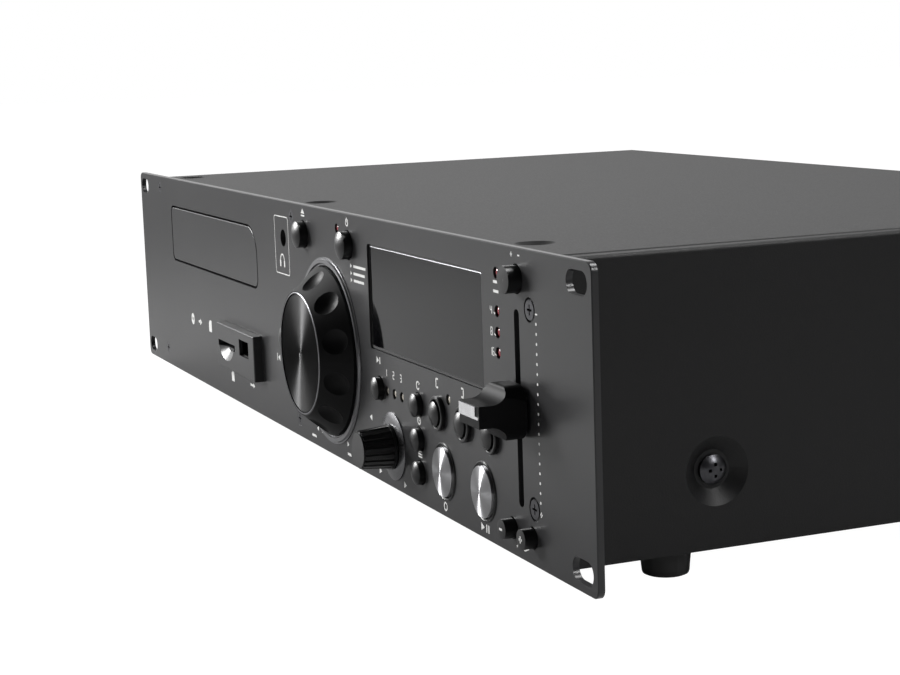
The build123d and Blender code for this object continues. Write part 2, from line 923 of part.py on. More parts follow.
with BuildPart() as display_module:
    module_face = panel_thickness + window_rim_thickness
    with BuildSketch(face_plane(module_face)):
        with Locations((window_x, window_z)):
            Rectangle(window_width - display_inset, window_height - display_inset / 2)
    extrude(amount=-(board_back + panel_thickness - module_face))
    with BuildSketch(face_plane(module_face)):
        with Locations((window_x, window_z)):
            Rectangle(window_width - glass_inset_x, window_height - glass_inset_z)
    extrude(amount=-glass_depth, mode=Mode.SUBTRACT)

# Card and USB module, one moulding that stands proud of the panel
with BuildPart() as media_module:
    with BuildSketch(face_plane(-module_proud)):
        add(module_outline())
    extrude(amount=-(module_proud + panel_thickness + module_rim_thickness))
    with BuildSketch(face_plane(panel_thickness)):
        add(module_outline(module_rim))
    extrude(amount=-module_rim_thickness)
    with BuildSketch(face_plane(panel_thickness + module_rim_thickness)):
        add(module_outline(-module_body_inset))
    extrude(amount=-(module_depth - module_rim_thickness))
    front_edges = media_module.faces().sort_by(Axis.Y)[0].outer_wire().edges()
    fillet(front_edges, module_edge_round)
    with BuildSketch(face_plane(-module_proud)):
        with Locations((card_slot_x, card_slot_z)):
            Rectangle(card_slot_width, card_slot_height)
        with Locations((usb_x, usb_z)):
            Rectangle(usb_width, usb_height)
    extrude(amount=-(module_proud + panel_thickness + module_depth), mode=Mode.SUBTRACT)
    with BuildSketch(face_plane(panel_thickness)):
        with Locations((card_slot_x, card_slot_z)):
            Rectangle(card_socket_width + 2 * socket_gap, card_socket_height + 2 * socket_gap)
    extrude(amount=-module_depth, mode=Mode.SUBTRACT)
    for depth, share in ((0.0, 1.0), (scoop_depth, scoop_floor)):
        with BuildSketch(face_plane(depth - module_proud)):
            with Locations((scoop_x, card_slot_z)):
                Ellipse(scoop_width / 2 * share, scoop_height * share)
                with Locations((0, scoop_height)):
                    Rectangle(scoop_width, 2 * scoop_height, mode=Mode.SUBTRACT)
    loft(mode=Mode.SUBTRACT)

with BuildPart() as card_socket:
    with BuildSketch(face_plane(panel_thickness + socket_gap)):
        with Locations((card_slot_x, card_slot_z)):
            Rectangle(card_socket_width, card_socket_height)
            Rectangle(card_slot_width, card_slot_height, mode=Mode.SUBTRACT)
    card_floor = card_socket_depth - card_socket_wall
    extrude(amount=-card_floor)
    with BuildSketch(face_plane(panel_thickness + socket_gap + card_floor)):
        with Locations((card_slot_x, card_slot_z)):
            Rectangle(card_socket_width, card_socket_height)
    extrude(amount=-card_socket_wall)

with BuildPart() as usb_socket:
    shell_front = usb_recess - module_proud
    shell_width = usb_width - 2 * socket_gap
    shell_height = usb_height - 2 * socket_gap
    with BuildSketch(face_plane(shell_front)):
        with Locations((usb_x, usb_z)):
            Rectangle(shell_width, shell_height)
            offset(amount=-usb_shell_wall, mode=Mode.SUBTRACT)
    extrude(amount=-usb_shell_length)
    with BuildSketch(face_plane(shell_front + usb_shell_length)):
        with Locations((usb_x, usb_z)):
            Rectangle(shell_width, shell_height)
    extrude(amount=-usb_shell_floor)
    with BuildSketch(face_plane(shell_front + usb_tongue_back)):
        with Locations((usb_x, usb_z + usb_tongue_lift)):
            Rectangle(shell_width - 2 * (usb_shell_wall + usb_tongue_gap), usb_tongue_height)
    extrude(amount=-(usb_shell_length - usb_tongue_back + usb_shell_floor / 2))

# Headphone socket
with BuildPart() as phones_socket:
    with BuildSketch(face_plane(panel_thickness)):
        with Locations((phones_x, phones_z)):
            Rectangle(phones_body_width, phones_body_height)
    extrude(amount=-phones_body_depth)
    with BuildSketch(face_plane(panel_thickness)):
        with Locations((phones_x, phones_z)):
            Circle(phones_bore / 2)
    extrude(amount=-phones_bore_depth, mode=Mode.SUBTRACT)

# Jog wheel, its trim ring, its top plate and its bearing
board_face = board_back + panel_thickness
with BuildPart() as jog_ring:
    add(
        turned(
            jog_x, jog_z,
            (jog_ring_hole / 2, panel_thickness + jog_ring_lip),
            (jog_ring_hole / 2, -jog_ring_flange),
            (jog_band_inner / 2, -jog_ring_flange),
            (jog_band_inner / 2 + jog_ring_flange, -jog_ring_proud),
            (jog_band_outer / 2 - jog_ring_flange, -jog_ring_proud),
            (jog_band_outer / 2, -jog_ring_flange),
            (jog_ring_width / 2, -jog_ring_flange),
            (jog_ring_width / 2, 0),
            (jog_band_outer / 2 - jog_ring_seat, 0),
            (jog_band_outer / 2 - jog_ring_seat, panel_thickness + jog_ring_lip),
        )
    )

rim_inner = jog_top_width / 2 - jog_rim
plate_seat = jog_plate + jog_plate_sink - jog_proud
cone_run = (jog_wheel_width - jog_top_width) / 2
cone_rise = jog_proud - jog_shoulder
cone_length = hypot(cone_run, cone_rise)
with BuildPart() as jog_wheel:
    add(
        turned(
            jog_x, jog_z,
            (jog_spindle / 2 + shaft_clearance, plate_seat),
            (rim_inner, plate_seat),
            (rim_inner, -jog_proud),
            (jog_top_width / 2, -jog_proud),
            (jog_wheel_width / 2, -jog_shoulder),
            (jog_wheel_width / 2, jog_skirt_back),
            (jog_wheel_width / 2 - jog_wall, jog_skirt_back),
            (jog_wheel_width / 2 - jog_wall, -jog_shoulder + jog_web / 2),
            (jog_top_width / 2 - jog_wall, plate_seat + jog_web),
            (jog_boss / 2, plate_seat + jog_web),
            (jog_boss / 2, board_face - jog_boss_gap),
            (jog_spindle / 2 + shaft_clearance, board_face - jog_boss_gap),
        )
    )
    dimple_ball = ((jog_dimple_width / 2) ** 2 + jog_dimple_depth**2) / (2 * jog_dimple_depth)
    lift = dimple_ball - jog_dimple_depth
    middle_radius = (jog_top_width + jog_wheel_width) / 4
    ball_radius = middle_radius + lift * cone_rise / cone_length
    ball_depth = -(jog_proud + jog_shoulder) / 2 - lift * cone_run / cone_length
    with Locations(face_place(jog_x, jog_z, ball_depth)):
        with PolarLocations(ball_radius, jog_dimples, start_angle=jog_dimple_start):
            Sphere(dimple_ball, mode=Mode.SUBTRACT)

with BuildPart() as jog_plate_disc:
    add(
        turned(
            jog_x, jog_z,
            (0, plate_seat),
            (0, plate_seat - jog_plate),
            (rim_inner - 2 * jog_plate_edge, plate_seat - jog_plate - jog_plate_edge),
            (rim_inner - jog_plate_gap, plate_seat - jog_plate),
            (rim_inner - jog_plate_gap, plate_seat),
        )
    )

with BuildPart() as jog_bearing:
    add(
        turned(
            jog_x, jog_z,
            (0, board_face),
            (bearing_foot / 2, board_face),
            (bearing_foot / 2, board_face - bearing_foot_height),
            (bearing_boss / 2, board_face - bearing_boss_height),
            (jog_spindle / 2, board_face - bearing_boss_height),
            (jog_spindle / 2, plate_seat + spindle_end_gap),
            (0, plate_seat + spindle_end_gap),
        )
    )

# Selector: domed skirt, fluted knob with its shaft, and the encoder
with BuildPart() as selector_skirt:
    with BuildSketch(turning_plane(selector_x, selector_z)):
        with BuildLine():
            Polyline((skirt_hole / 2, 0), (skirt_width / 2, 0), (skirt_width / 2, -skirt_edge))
            ThreePointArc(
                (skirt_width / 2, -skirt_edge),
                ((skirt_width + skirt_hole) / 4, -skirt_middle),
                (skirt_hole / 2, -skirt_crown),
            )
            Line((skirt_hole / 2, -skirt_crown), (skirt_hole / 2, 0))
        make_face()
    revolve(axis=turning_axis(selector_x, selector_z))


def fluted_outline(radius):
    """Knob outline with a shallow groove between its ribs."""
    step = 2 * pi / knob_flutes
    points = []
    for flute in range(knob_flutes):
        for share, reach in ((0.0, 0), (0.5, 0), (0.66, knob_flute_depth), (0.84, knob_flute_depth)):
            angle = (flute + share) * step
            points.append(((radius - reach) * cos(angle), (radius - reach) * sin(angle)))
    with BuildSketch() as outline:
        with BuildLine():
            Polyline(*points, close=True)
        make_face()
    return outline.sketch


with BuildPart() as selector_knob:
    with BuildSketch(face_plane(-knob_gap - knob_flange_height)):
        with Locations((selector_x, selector_z)):
            add(fluted_outline(knob_base / 2))
    with BuildSketch(face_plane(knob_cap - knob_proud)):
        with Locations((selector_x, selector_z)):
            add(fluted_outline(knob_tip / 2))
    loft(ruled=True)
    with BuildSketch(face_plane(-knob_proud)):
        with Locations((selector_x, selector_z)):
            Circle(knob_tip / 2 - knob_flute_depth)
    extrude(amount=-knob_cap)
    with BuildSketch(face_plane(-knob_gap)):
        with Locations((selector_x, selector_z)):
            Circle(knob_flange / 2)
    extrude(amount=knob_flange_height)
    with BuildSketch(face_plane(-knob_gap)):
        with Locations((selector_x, selector_z)):
            Circle(knob_shaft / 2)
    extrude(amount=-(board_face + knob_gap - knob_shaft_gap))

with BuildPart() as selector_encoder:
    with BuildSketch(face_plane(board_face)):
        with Locations((selector_x, selector_z)):
            Rectangle(selector_body, selector_body)
    extrude(amount=selector_depth)
    with BuildSketch(face_plane(board_face)):
        with Locations((selector_x, selector_z)):
            Circle(knob_shaft / 2 + shaft_clearance)
    extrude(amount=board_back, mode=Mode.SUBTRACT)

# Pitch fader: body, sliding lever, cap and its bright insert
with BuildPart() as fader_body:
    fader_mid = ((fader_left + fader_right) / 2, (fader_low + fader_high) / 2)
    with BuildSketch(face_plane(panel_thickness)):
        with Locations(fader_mid):
            Rectangle(fader_right - fader_left, fader_high - fader_low)
    extrude(amount=-fader_depth)
    with BuildSketch(face_plane(panel_thickness)):
        with Locations((fader_x, fader_z)):
            Rectangle(
                carriage_width + 2 * carriage_gap,
                2 * (fader_travel + carriage_end_gap) + carriage_height,
            )
    extrude(amount=-(carriage_depth + lever_foot + carriage_gap), mode=Mode.SUBTRACT)
    with BuildSketch(face_plane(panel_thickness)):
        with Locations(*fader_screw_places):
            Circle(flat_screw_shank / 2 + screw_clearance)
    extrude(amount=-flat_screw_length, mode=Mode.SUBTRACT)

lever_tip = lever_tip_gap - cap_proud
with BuildPart() as fader_lever:
    with BuildSketch(face_plane(panel_thickness + lever_foot)):
        with Locations((fader_x, fader_z)):
            Rectangle(carriage_width, carriage_height)
    extrude(amount=-carriage_depth)
    with BuildSketch(face_plane(lever_tip)):
        with Locations((fader_x, fader_z)):
            Rectangle(lever_thickness, lever_height)
    extrude(amount=-(panel_thickness + lever_foot + carriage_gap - lever_tip))


def cap_profile():
    """Side view of the fader cap: x is the depth, y the height from its middle."""
    with BuildSketch() as profile:
        with BuildLine():
            Polyline((-cap_lift, 0), (-cap_lift, cap_base_height / 2), (-cap_shoulder, cap_base_height / 2))
            TangentArc(
                (-cap_grip_end, cap_front_height / 2),
                (-cap_shoulder, cap_base_height / 2),
                tangent=(1, 0),
            )
            Polyline(
                (-cap_grip_end, cap_front_height / 2),
                (-cap_proud, cap_front_height / 2),
                (-cap_proud, 0),
            )
            mirror(about=Plane.XZ)
        make_face()
        shoulders = profile.vertices().filter_by_position(
            Axis.X, -cap_shoulder - shaft_clearance, -cap_shoulder + shaft_clearance
        )
        fillet(shoulders, cap_shoulder_round)
    return profile.sketch


with BuildPart() as fader_cap:
    cap_origin = (fader_x, -panel_thickness, fader_z - panel_height / 2)
    with BuildSketch(Plane(origin=cap_origin, x_dir=(0, 1, 0), z_dir=(1, 0, 0))):
        add(cap_profile())
    extrude(amount=cap_base_width, both=True)
    with BuildSketch(face_plane(0)):
        with Locations((fader_x, fader_z)):
            RectangleRounded(cap_base_width, cap_base_height, cap_base_corner)
    extrude(amount=cap_proud, mode=Mode.INTERSECT)
    with BuildSketch(level(fader_z)):
        with BuildLine():
            Polyline(
                (fader_x - cap_base_width / 2, -panel_thickness - cap_lift),
                (fader_x - cap_front_width / 2, -panel_thickness - cap_proud),
                (fader_x + cap_front_width / 2, -panel_thickness - cap_proud),
                (fader_x + cap_base_width / 2, -panel_thickness - cap_lift),
                close=True,
            )
        make_face()
    extrude(amount=cap_base_height, both=True, mode=Mode.INTERSECT)
    with BuildSketch(face_plane(0)):
        with Locations((fader_x, fader_z)):
            Rectangle(lever_thickness + 2 * shaft_clearance, lever_height + 2 * shaft_clearance)
    extrude(amount=-lever_tip + shaft_clearance, mode=Mode.SUBTRACT)

with BuildPart() as fader_insert:
    with BuildSketch(face_plane(-cap_proud)):
        with Locations((fader_x - plate_margin + line_margin, fader_z + plate_lift)):
            Rectangle(cap_front_width - 2 * plate_margin, plate_height)
        with Locations((fader_x, fader_z + line_lift)):
            Rectangle(cap_front_width - 2 * line_margin, line_height)
    extrude(amount=plate_thickness)


# Keys, their trim rings and their switches
def push_key(x, height, cap_width, proud, dome):
    """A key: domed cap, collar behind the panel, and the stem that presses the switch."""
    cap = cap_width / 2
    collar = key_hole(cap_width) / 2 + collar_lip
    collar_front = panel_thickness + collar_gap
    collar_back = collar_front + collar_sheet
    stem_end = board_face - switch_body - plunger_height - key_travel - plunger_clearance
    with BuildPart() as key:
        with BuildSketch(turning_plane(x, height)):
            with BuildLine():
                ThreePointArc((0, -proud), (cap / 2, dome * 0.25 - proud), (cap, dome - proud))
                Polyline(
                    (cap, dome - proud),
                    (cap, collar_front),
                    (collar, collar_front),
                    (collar, collar_back),
                    (stem_width / 2, collar_back),
                    (stem_width / 2, stem_end),
                    (0, stem_end),
                    (0, -proud),
                )
            make_face()
        revolve(axis=turning_axis(x, height))
    return key.part


def trim_ring(x, height, width, hole, proud):
    """Ring on the panel round a key."""
    return turned(
        x, height,
        (hole / 2, 0),
        (hole / 2, ring_inner_round - proud),
        (hole / 2 + ring_inner_round, -proud),
        (width / 2 - ring_round, -proud),
        (width / 2, ring_round - proud),
        (width / 2, 0),
    )


key_parts = {}
for name, x, height, cap_width, proud, dome in keys:
    key_parts[name] = push_key(x, height, cap_width, proud, dome)

with BuildPart() as key_rings:
    for name, x, height, cap_width, proud, dome in keys:
        if name in small_ring_keys:
            add(trim_ring(x, height, small_ring_width, small_ring_hole, small_ring_proud))
        if name in large_ring_keys:
            add(trim_ring(x, height, large_ring_width, large_ring_hole, large_ring_proud))

with BuildPart() as key_switches:
    key_spots = [(x, height) for name, x, height, cap_width, proud, dome in keys]
    with BuildSketch(face_plane(board_face)):
        with Locations(*key_spots):
            Rectangle(switch_width, switch_width)
    extrude(amount=switch_body)
    with BuildSketch(face_plane(board_face)):
        with Locations(*key_spots):
            Circle(plunger_width / 2)
    extrude(amount=switch_body + plunger_height)

# Indicator lamps, standing on the control board
with BuildPart() as indicator_leds:
    for x, height in led_places:
        add(
            turned(
                x, height,
                (0, board_face),
                (led_width / 2, board_face),
                *((led_width / 2 * cos(radians(turn)), led_recess + led_dome * (1 - sin(radians(turn))))
                  for turn in (0, 35, 65)),
                (0, led_recess),
            )
        )

with BuildPart() as control_board:
    with BuildSketch(face_plane(board_face)):
        with Locations(((board_left + board_right) / 2, (board_low + board_high) / 2)):
            Rectangle(board_right - board_left, board_high - board_low)
        with Locations(((board_tab_left + board_left) / 2, (board_tab_low + board_tab_high) / 2)):
            Rectangle(board_left - board_tab_left, board_tab_high - board_tab_low)
        with Locations(fader_mid):
            Rectangle(fader_right - fader_left + 2.0, fader_high - fader_low + 1.0, mode=Mode.SUBTRACT)
        with Locations((top_dimple_places[-1], board_high)):
            Rectangle(board_notch_width, board_notch_height, mode=Mode.SUBTRACT)
    extrude(amount=-board_sheet)

# Boards and transformer on the chassis floor
with BuildPart() as circuit_boards:
    for left, right, front, rear in (main_board, power_board):
        with BuildSketch(level(floor_board_height)):
            with Locations(((left + right) / 2, (front + rear) / 2)):
                Rectangle(right - left, rear - front)
        extrude(amount=board_sheet)

with BuildPart() as transformer:
    core_width, core_depth, core_height = transformer_core
    coil_width, coil_depth, coil_height = transformer_coil
    with BuildSketch(level(floor_top)):
        with Locations((transformer_x, transformer_back)):
            Rectangle(core_width, core_depth)
    extrude(amount=core_height)
    with BuildSketch(level(floor_top + (core_height - coil_height) / 2)):
        with Locations((transformer_x, transformer_back)):
            RectangleRounded(coil_width, coil_depth, coil_corner)
    extrude(amount=coil_height)

# Mains inlet and line outputs
with BuildPart() as mains_inlet:
    with BuildSketch(Plane(rear_place(inlet_x, inlet_z, chassis_end))):
        RectangleRounded(inlet_flange_width, inlet_flange_height, inlet_corner)
    extrude(amount=inlet_flange)
    with BuildSketch(Plane(rear_place(inlet_x, inlet_z, chassis_end))):
        Rectangle(inlet_body_width, inlet_body_height)
    extrude(amount=-inlet_depth)
    with BuildSketch(Plane(rear_place(inlet_x, inlet_z, chassis_end + inlet_flange))) as mouth:
        Rectangle(inlet_mouth_width, inlet_mouth_height)
        chamfer(mouth.vertices().group_by(Axis.Z)[-1], inlet_mouth_corner)
    extrude(amount=-inlet_well, mode=Mode.SUBTRACT)
    with BuildSketch(Plane(rear_place(inlet_x, inlet_z, chassis_end + inlet_flange - inlet_well))):
        with Locations(*inlet_blade_places):
            Rectangle(*inlet_blade)
    extrude(amount=inlet_blade_length)

with BuildPart() as output_sockets:
    for x in output_places:
        with BuildSketch(Plane(rear_place(x, output_z, chassis_end - chassis_sheet))):
            Rectangle(output_block_width, output_block_width)
        extrude(amount=-output_block_depth)
        with BuildSketch(Plane(rear_place(x, output_z, chassis_end - chassis_sheet))):
            Circle(output_shell / 2)
        extrude(amount=output_shell_length + chassis_sheet)
        with BuildSketch(Plane(rear_place(x, output_z, chassis_end + output_shell_length))):
            Circle(output_shell_hole / 2)
            Circle(output_core / 2, mode=Mode.SUBTRACT)
        extrude(amount=-output_shell_length, mode=Mode.SUBTRACT)
        with BuildSketch(Plane(rear_place(x, output_z, chassis_end + output_shell_length))):
            Circle(output_pin_hole / 2)
        extrude(amount=-output_shell_length, mode=Mode.SUBTRACT)

# Disc drawer: tray with wells, runners and rack, and the drawer's front
rack_line = drawer_x + rack_offset
rack_root = rack_line - 1.2 * loading_module
tray_front = drawer_front_thickness - panel_thickness
with BuildPart() as disc_tray:
    with BuildSketch(level(tray_under)):
        with Locations((drawer_x, (tray_front + tray_end) / 2)):
            Rectangle(tray_body_width, tray_end - tray_front)
        with Locations((drawer_x, (rack_front + tray_end) / 2)):
            Rectangle(tray_runner_width, tray_end - rack_front)
    extrude(amount=tray_thickness)
    with BuildSketch(level(tray_under + tray_thickness)):
        with Locations((drawer_x, disc_back)):
            Circle(disc_well / 2)
    extrude(amount=-disc_well_depth, mode=Mode.SUBTRACT)
    with BuildSketch(level(tray_under + tray_thickness)):
        with Locations((drawer_x, disc_back)):
            Circle(small_well / 2)
    extrude(amount=-(disc_well_depth + small_well_depth), mode=Mode.SUBTRACT)
    with BuildSketch(level(tray_under)):
        with Locations((drawer_x, disc_back + tray_window_reach / 2)):
            SlotCenterToCenter(tray_window_reach, tray_window_width, rotation=90)
    extrude(amount=tray_thickness, mode=Mode.SUBTRACT)
    with BuildSketch(face_plane(drawer_front_thickness)):
        with Locations((drawer_x, (tray_wall_bottom + tray_wall_top) / 2)):
            Rectangle(tray_wall_width, tray_wall_top - tray_wall_bottom)
    extrude(amount=-tray_wall)
    with BuildSketch(level(tray_under)):
        with Locations((rack_root - rack_width / 2, (rack_front + tray_end) / 2)):
            Rectangle(rack_width, tray_end - rack_front)
        teeth = rack_places(rack_line, loading_gear_back, rack_front, tray_end, loading_module)
        with Locations(*teeth):
            add(gear_tooth(loading_module))
    extrude(amount=-rack_height)

with BuildPart() as drawer_front:
    with BuildSketch(face_plane()):
        add(drawer_outline())
    extrude(amount=-drawer_front_thickness)
    drawer_edges = drawer_front.faces().sort_by(Axis.Y)[0].outer_wire().edges()
    fillet(drawer_edges, drawer_edge_round)

# Loader frame that carries the drawer, its gear and the pickup traverse
gear_x = rack_line + loading_teeth * loading_module / 2
rack_bottom = tray_under - rack_height
with BuildPart() as loader_frame:
    runner_half = tray_runner_width / 2 + runner_clearance
    wall_outer = runner_half + loader_wall
    loader_length = loader_rear - loader_front
    loader_mid = (drawer_x, (loader_front + loader_rear) / 2)
    with BuildSketch(level(loader_floor_z)):
        with Locations(loader_mid):
            Rectangle(2 * wall_outer, loader_length)
        with Locations((drawer_x, (loader_opening_front + loader_opening_rear) / 2)):
            opening_length = loader_opening_rear - loader_opening_front
            Rectangle(2 * loader_opening_half, opening_length, mode=Mode.SUBTRACT)
        with Locations((gear_x, loading_gear_back)):
            Circle(motor_shaft / 2 + shaft_clearance, mode=Mode.SUBTRACT)
    extrude(amount=loader_floor)
    with BuildSketch(level(loader_floor_z)):
        with Locations(loader_mid):
            Rectangle(2 * wall_outer, loader_length)
            Rectangle(2 * runner_half, loader_length, mode=Mode.SUBTRACT)
    extrude(amount=loader_wall_top - loader_floor_z)
    lower_ledge = tray_under - runner_clearance - ledge_depth
    upper_lip = tray_under + tray_thickness + runner_clearance
    guides = ((lower_ledge, ledge_depth, ledge_reach), (upper_lip, lip_depth, lip_reach))
    for bottom, depth, reach in guides:
        with BuildSketch(level(bottom)):
            with Locations(loader_mid):
                Rectangle(2 * runner_half, loader_length)
                Rectangle(2 * (runner_half - reach), loader_length, mode=Mode.SUBTRACT)
        extrude(amount=depth)
    with BuildSketch(level(floor_top)):
        leg_side = wall_outer - loader_leg_inset - loader_leg / 2
        for back in loader_leg_places:
            with Locations((drawer_x - leg_side, back), (drawer_x + leg_side, back)):
                Rectangle(loader_leg, loader_leg)
    extrude(amount=loader_floor_z - floor_top)
    floor_level = loader_floor_z + loader_floor
    with BuildSketch(level(floor_level)):
        boss_side = loader_opening_half + traverse_boss / 2 + clamp_hole_gap
        for back in traverse_boss_places:
            with Locations((drawer_x - boss_side, back), (drawer_x + boss_side, back)):
                Circle(traverse_boss / 2)
    extrude(amount=traverse_z - floor_level)
    with BuildSketch(level(floor_level)):
        with Locations((gear_x, loading_gear_back)):
            Circle(gear_post / 2)
            Circle(motor_shaft / 2 + shaft_clearance, mode=Mode.SUBTRACT)
    extrude(amount=rack_bottom - gear_end_gap - floor_level)

with BuildPart() as loading_gear:
    with BuildSketch(level(rack_bottom)):
        with Locations((gear_x, loading_gear_back)):
            add(gear_outline(loading_teeth, loading_module, 180.0 / loading_teeth))
    extrude(amount=rack_height - 2 * gear_end_gap)
    with BuildSketch(level(loader_floor_z - drive_shaft_reach)):
        with Locations((gear_x, loading_gear_back)):
            Circle(motor_shaft / 2)
    extrude(amount=rack_bottom - loader_floor_z + drive_shaft_reach)

# Pickup traverse, in its lowered place under the drawer
traverse_top = traverse_z + traverse_sheet
sled_rack_line = drawer_x + sled_half_width + sled_rack_gap
sled_gear_x = sled_rack_line + sled_teeth * sled_module / 2
with BuildPart() as traverse_plate:
    with BuildSketch(level(traverse_z)):
        with Locations((drawer_x, (traverse_front + traverse_rear) / 2)):
            Rectangle(traverse_width, traverse_rear - traverse_front)
        with Locations((drawer_x, disc_back), (sled_gear_x, sled_gear_back)):
            Circle(motor_shaft / 2 + shaft_clearance, mode=Mode.SUBTRACT)
        with Locations((drawer_x, (sled_window_front + sled_window_rear) / 2)):
            Rectangle(sled_window_width, sled_window_rear - sled_window_front, mode=Mode.SUBTRACT)
    extrude(amount=traverse_sheet)
    for back in (rod_front, traverse_rear - traverse_sheet):
        with BuildSketch(face_plane(back + panel_thickness)):
            tab_middle = traverse_top + rod_tab_height / 2
            with Locations(*((drawer_x + side * rod_offset, tab_middle) for side in (-1, 1))):
                Rectangle(rod_tab_width, rod_tab_height)
            with Locations(*((drawer_x + side * rod_offset, rod_z) for side in (-1, 1))):
                Circle(rod_width / 2 + rod_fit, mode=Mode.SUBTRACT)
        extrude(amount=-traverse_sheet)

with BuildPart() as sled_rods:
    with BuildSketch(face_plane(rod_front + panel_thickness)):
        with Locations(*((drawer_x + side * rod_offset, rod_z) for side in (-1, 1))):
            Circle(rod_width / 2)
    extrude(amount=-(traverse_rear - rod_front))

with BuildPart() as pickup_sled:
    with BuildSketch(level(sled_bottom)):
        with Locations((drawer_x, sled_front + sled_length / 2)):
            Rectangle(2 * sled_half_width, sled_length)
    extrude(amount=sled_height)
    with BuildSketch(level(sled_bottom + sled_rack_lift)):
        bar_front = rod_front + sled_rack_front_gap
        bar_rear = sled_gear_back + sled_rack_height
        bar_outer = sled_rack_line - 1.2 * sled_module
        bar_inner = drawer_x + sled_half_width
        with Locations(((bar_inner + bar_outer) / 2, (bar_front + bar_rear) / 2)):
            Rectangle(bar_outer - bar_inner, bar_rear - bar_front)
        with Locations(*rack_places(sled_rack_line, sled_gear_back, bar_front, bar_rear, sled_module)):
            add(gear_tooth(sled_module))
    extrude(amount=sled_rack_height)
    with BuildSketch(level(sled_bottom + sled_height)):
        with Locations((drawer_x, sled_front + lens_back)):
            Circle(lens_width / 2)
    extrude(amount=lens_height)
    with BuildSketch(face_plane(sled_front + panel_thickness)):
        with Locations(*((drawer_x + side * rod_offset, rod_z) for side in (-1, 1))):
            Circle(rod_width / 2 + rod_clearance)
    extrude(amount=-sled_length, mode=Mode.SUBTRACT)

with BuildPart() as sled_gear:
    with BuildSketch(level(sled_bottom + sled_rack_lift)):
        with Locations((sled_gear_x, sled_gear_back)):
            add(gear_outline(sled_teeth, sled_module, 180.0 / sled_teeth))
    extrude(amount=sled_rack_height)
    with BuildSketch(level(traverse_top + sled_boss_gap)):
        with Locations((sled_gear_x, sled_gear_back)):
            Circle(sled_boss / 2)
    extrude(amount=sled_boss_height)
    with BuildSketch(level(traverse_z - drive_shaft_reach)):
        with Locations((sled_gear_x, sled_gear_back)):
            Circle(motor_shaft / 2)
    extrude(amount=sled_bottom + sled_rack_height - traverse_z + drive_shaft_reach)

with BuildPart() as turntable:
    hub_top = turntable_z + turntable_disc + turntable_hub_height
    add(
        upright(
            drawer_x, disc_back,
            (0, traverse_z - spindle_shaft_reach),
            (motor_shaft / 2, traverse_z - spindle_shaft_reach),
            (motor_shaft / 2, traverse_top + turntable_boss_gap),
            (turntable_boss / 2, traverse_top + turntable_boss_gap),
            (turntable_boss / 2, turntable_z),
            (turntable_width / 2, turntable_z),
            (turntable_width / 2, turntable_z + turntable_disc),
            (turntable_hub / 2, turntable_z + turntable_disc),
            (turntable_hub / 2 - hub_taper, hub_top - hub_nose),
            (hub_nose_width / 2, hub_top),
            (0, hub_top),
        )
    )


def can_motor(x, back, top, width, height):
    """Round motor hanging under its plate, with a blind bore for the shaft it drives."""
    return upright(
        x, back,
        (0, top - height),
        (width / 2, top - height),
        (width / 2, top),
        (motor_shaft / 2 + shaft_clearance, top),
        (motor_shaft / 2 + shaft_clearance, top - motor_bore_depth),
        (0, top - motor_bore_depth),
    )


with BuildPart() as spindle_motor:
    add(can_motor(drawer_x, disc_back, traverse_z, spindle_motor_width, spindle_motor_height))

with BuildPart() as drive_motors:
    add(can_motor(gear_x, loading_gear_back, loader_floor_z, drive_motor_width, drive_motor_height))
    add(can_motor(sled_gear_x, sled_gear_back, traverse_z, drive_motor_width, drive_motor_height))

# Disc clamp, hanging in its bridge over the drawer
bridge_top = loader_wall_top + bridge_sheet
with BuildPart() as clamp_bridge:
    with BuildSketch(level(loader_wall_top)):
        with Locations((drawer_x, disc_back)):
            Rectangle(2 * wall_outer, bridge_width)
            Circle(clamp_neck / 2 + clamp_hole_gap, mode=Mode.SUBTRACT)
    extrude(amount=bridge_sheet)

with BuildPart() as disc_clamp:
    lower_top = loader_wall_top - clamp_gap
    flange_bottom = bridge_top + clamp_gap
    add(
        upright(
            drawer_x, disc_back,
            (0, lower_top - clamp_lower),
            (clamp_width / 2, lower_top - clamp_lower),
            (clamp_width / 2, lower_top),
            (clamp_neck / 2, lower_top),
            (clamp_neck / 2, flange_bottom),
            (clamp_flange / 2, flange_bottom),
            (clamp_flange / 2, flange_bottom + clamp_upper),
            (0, flange_bottom + clamp_upper),
        )
    )

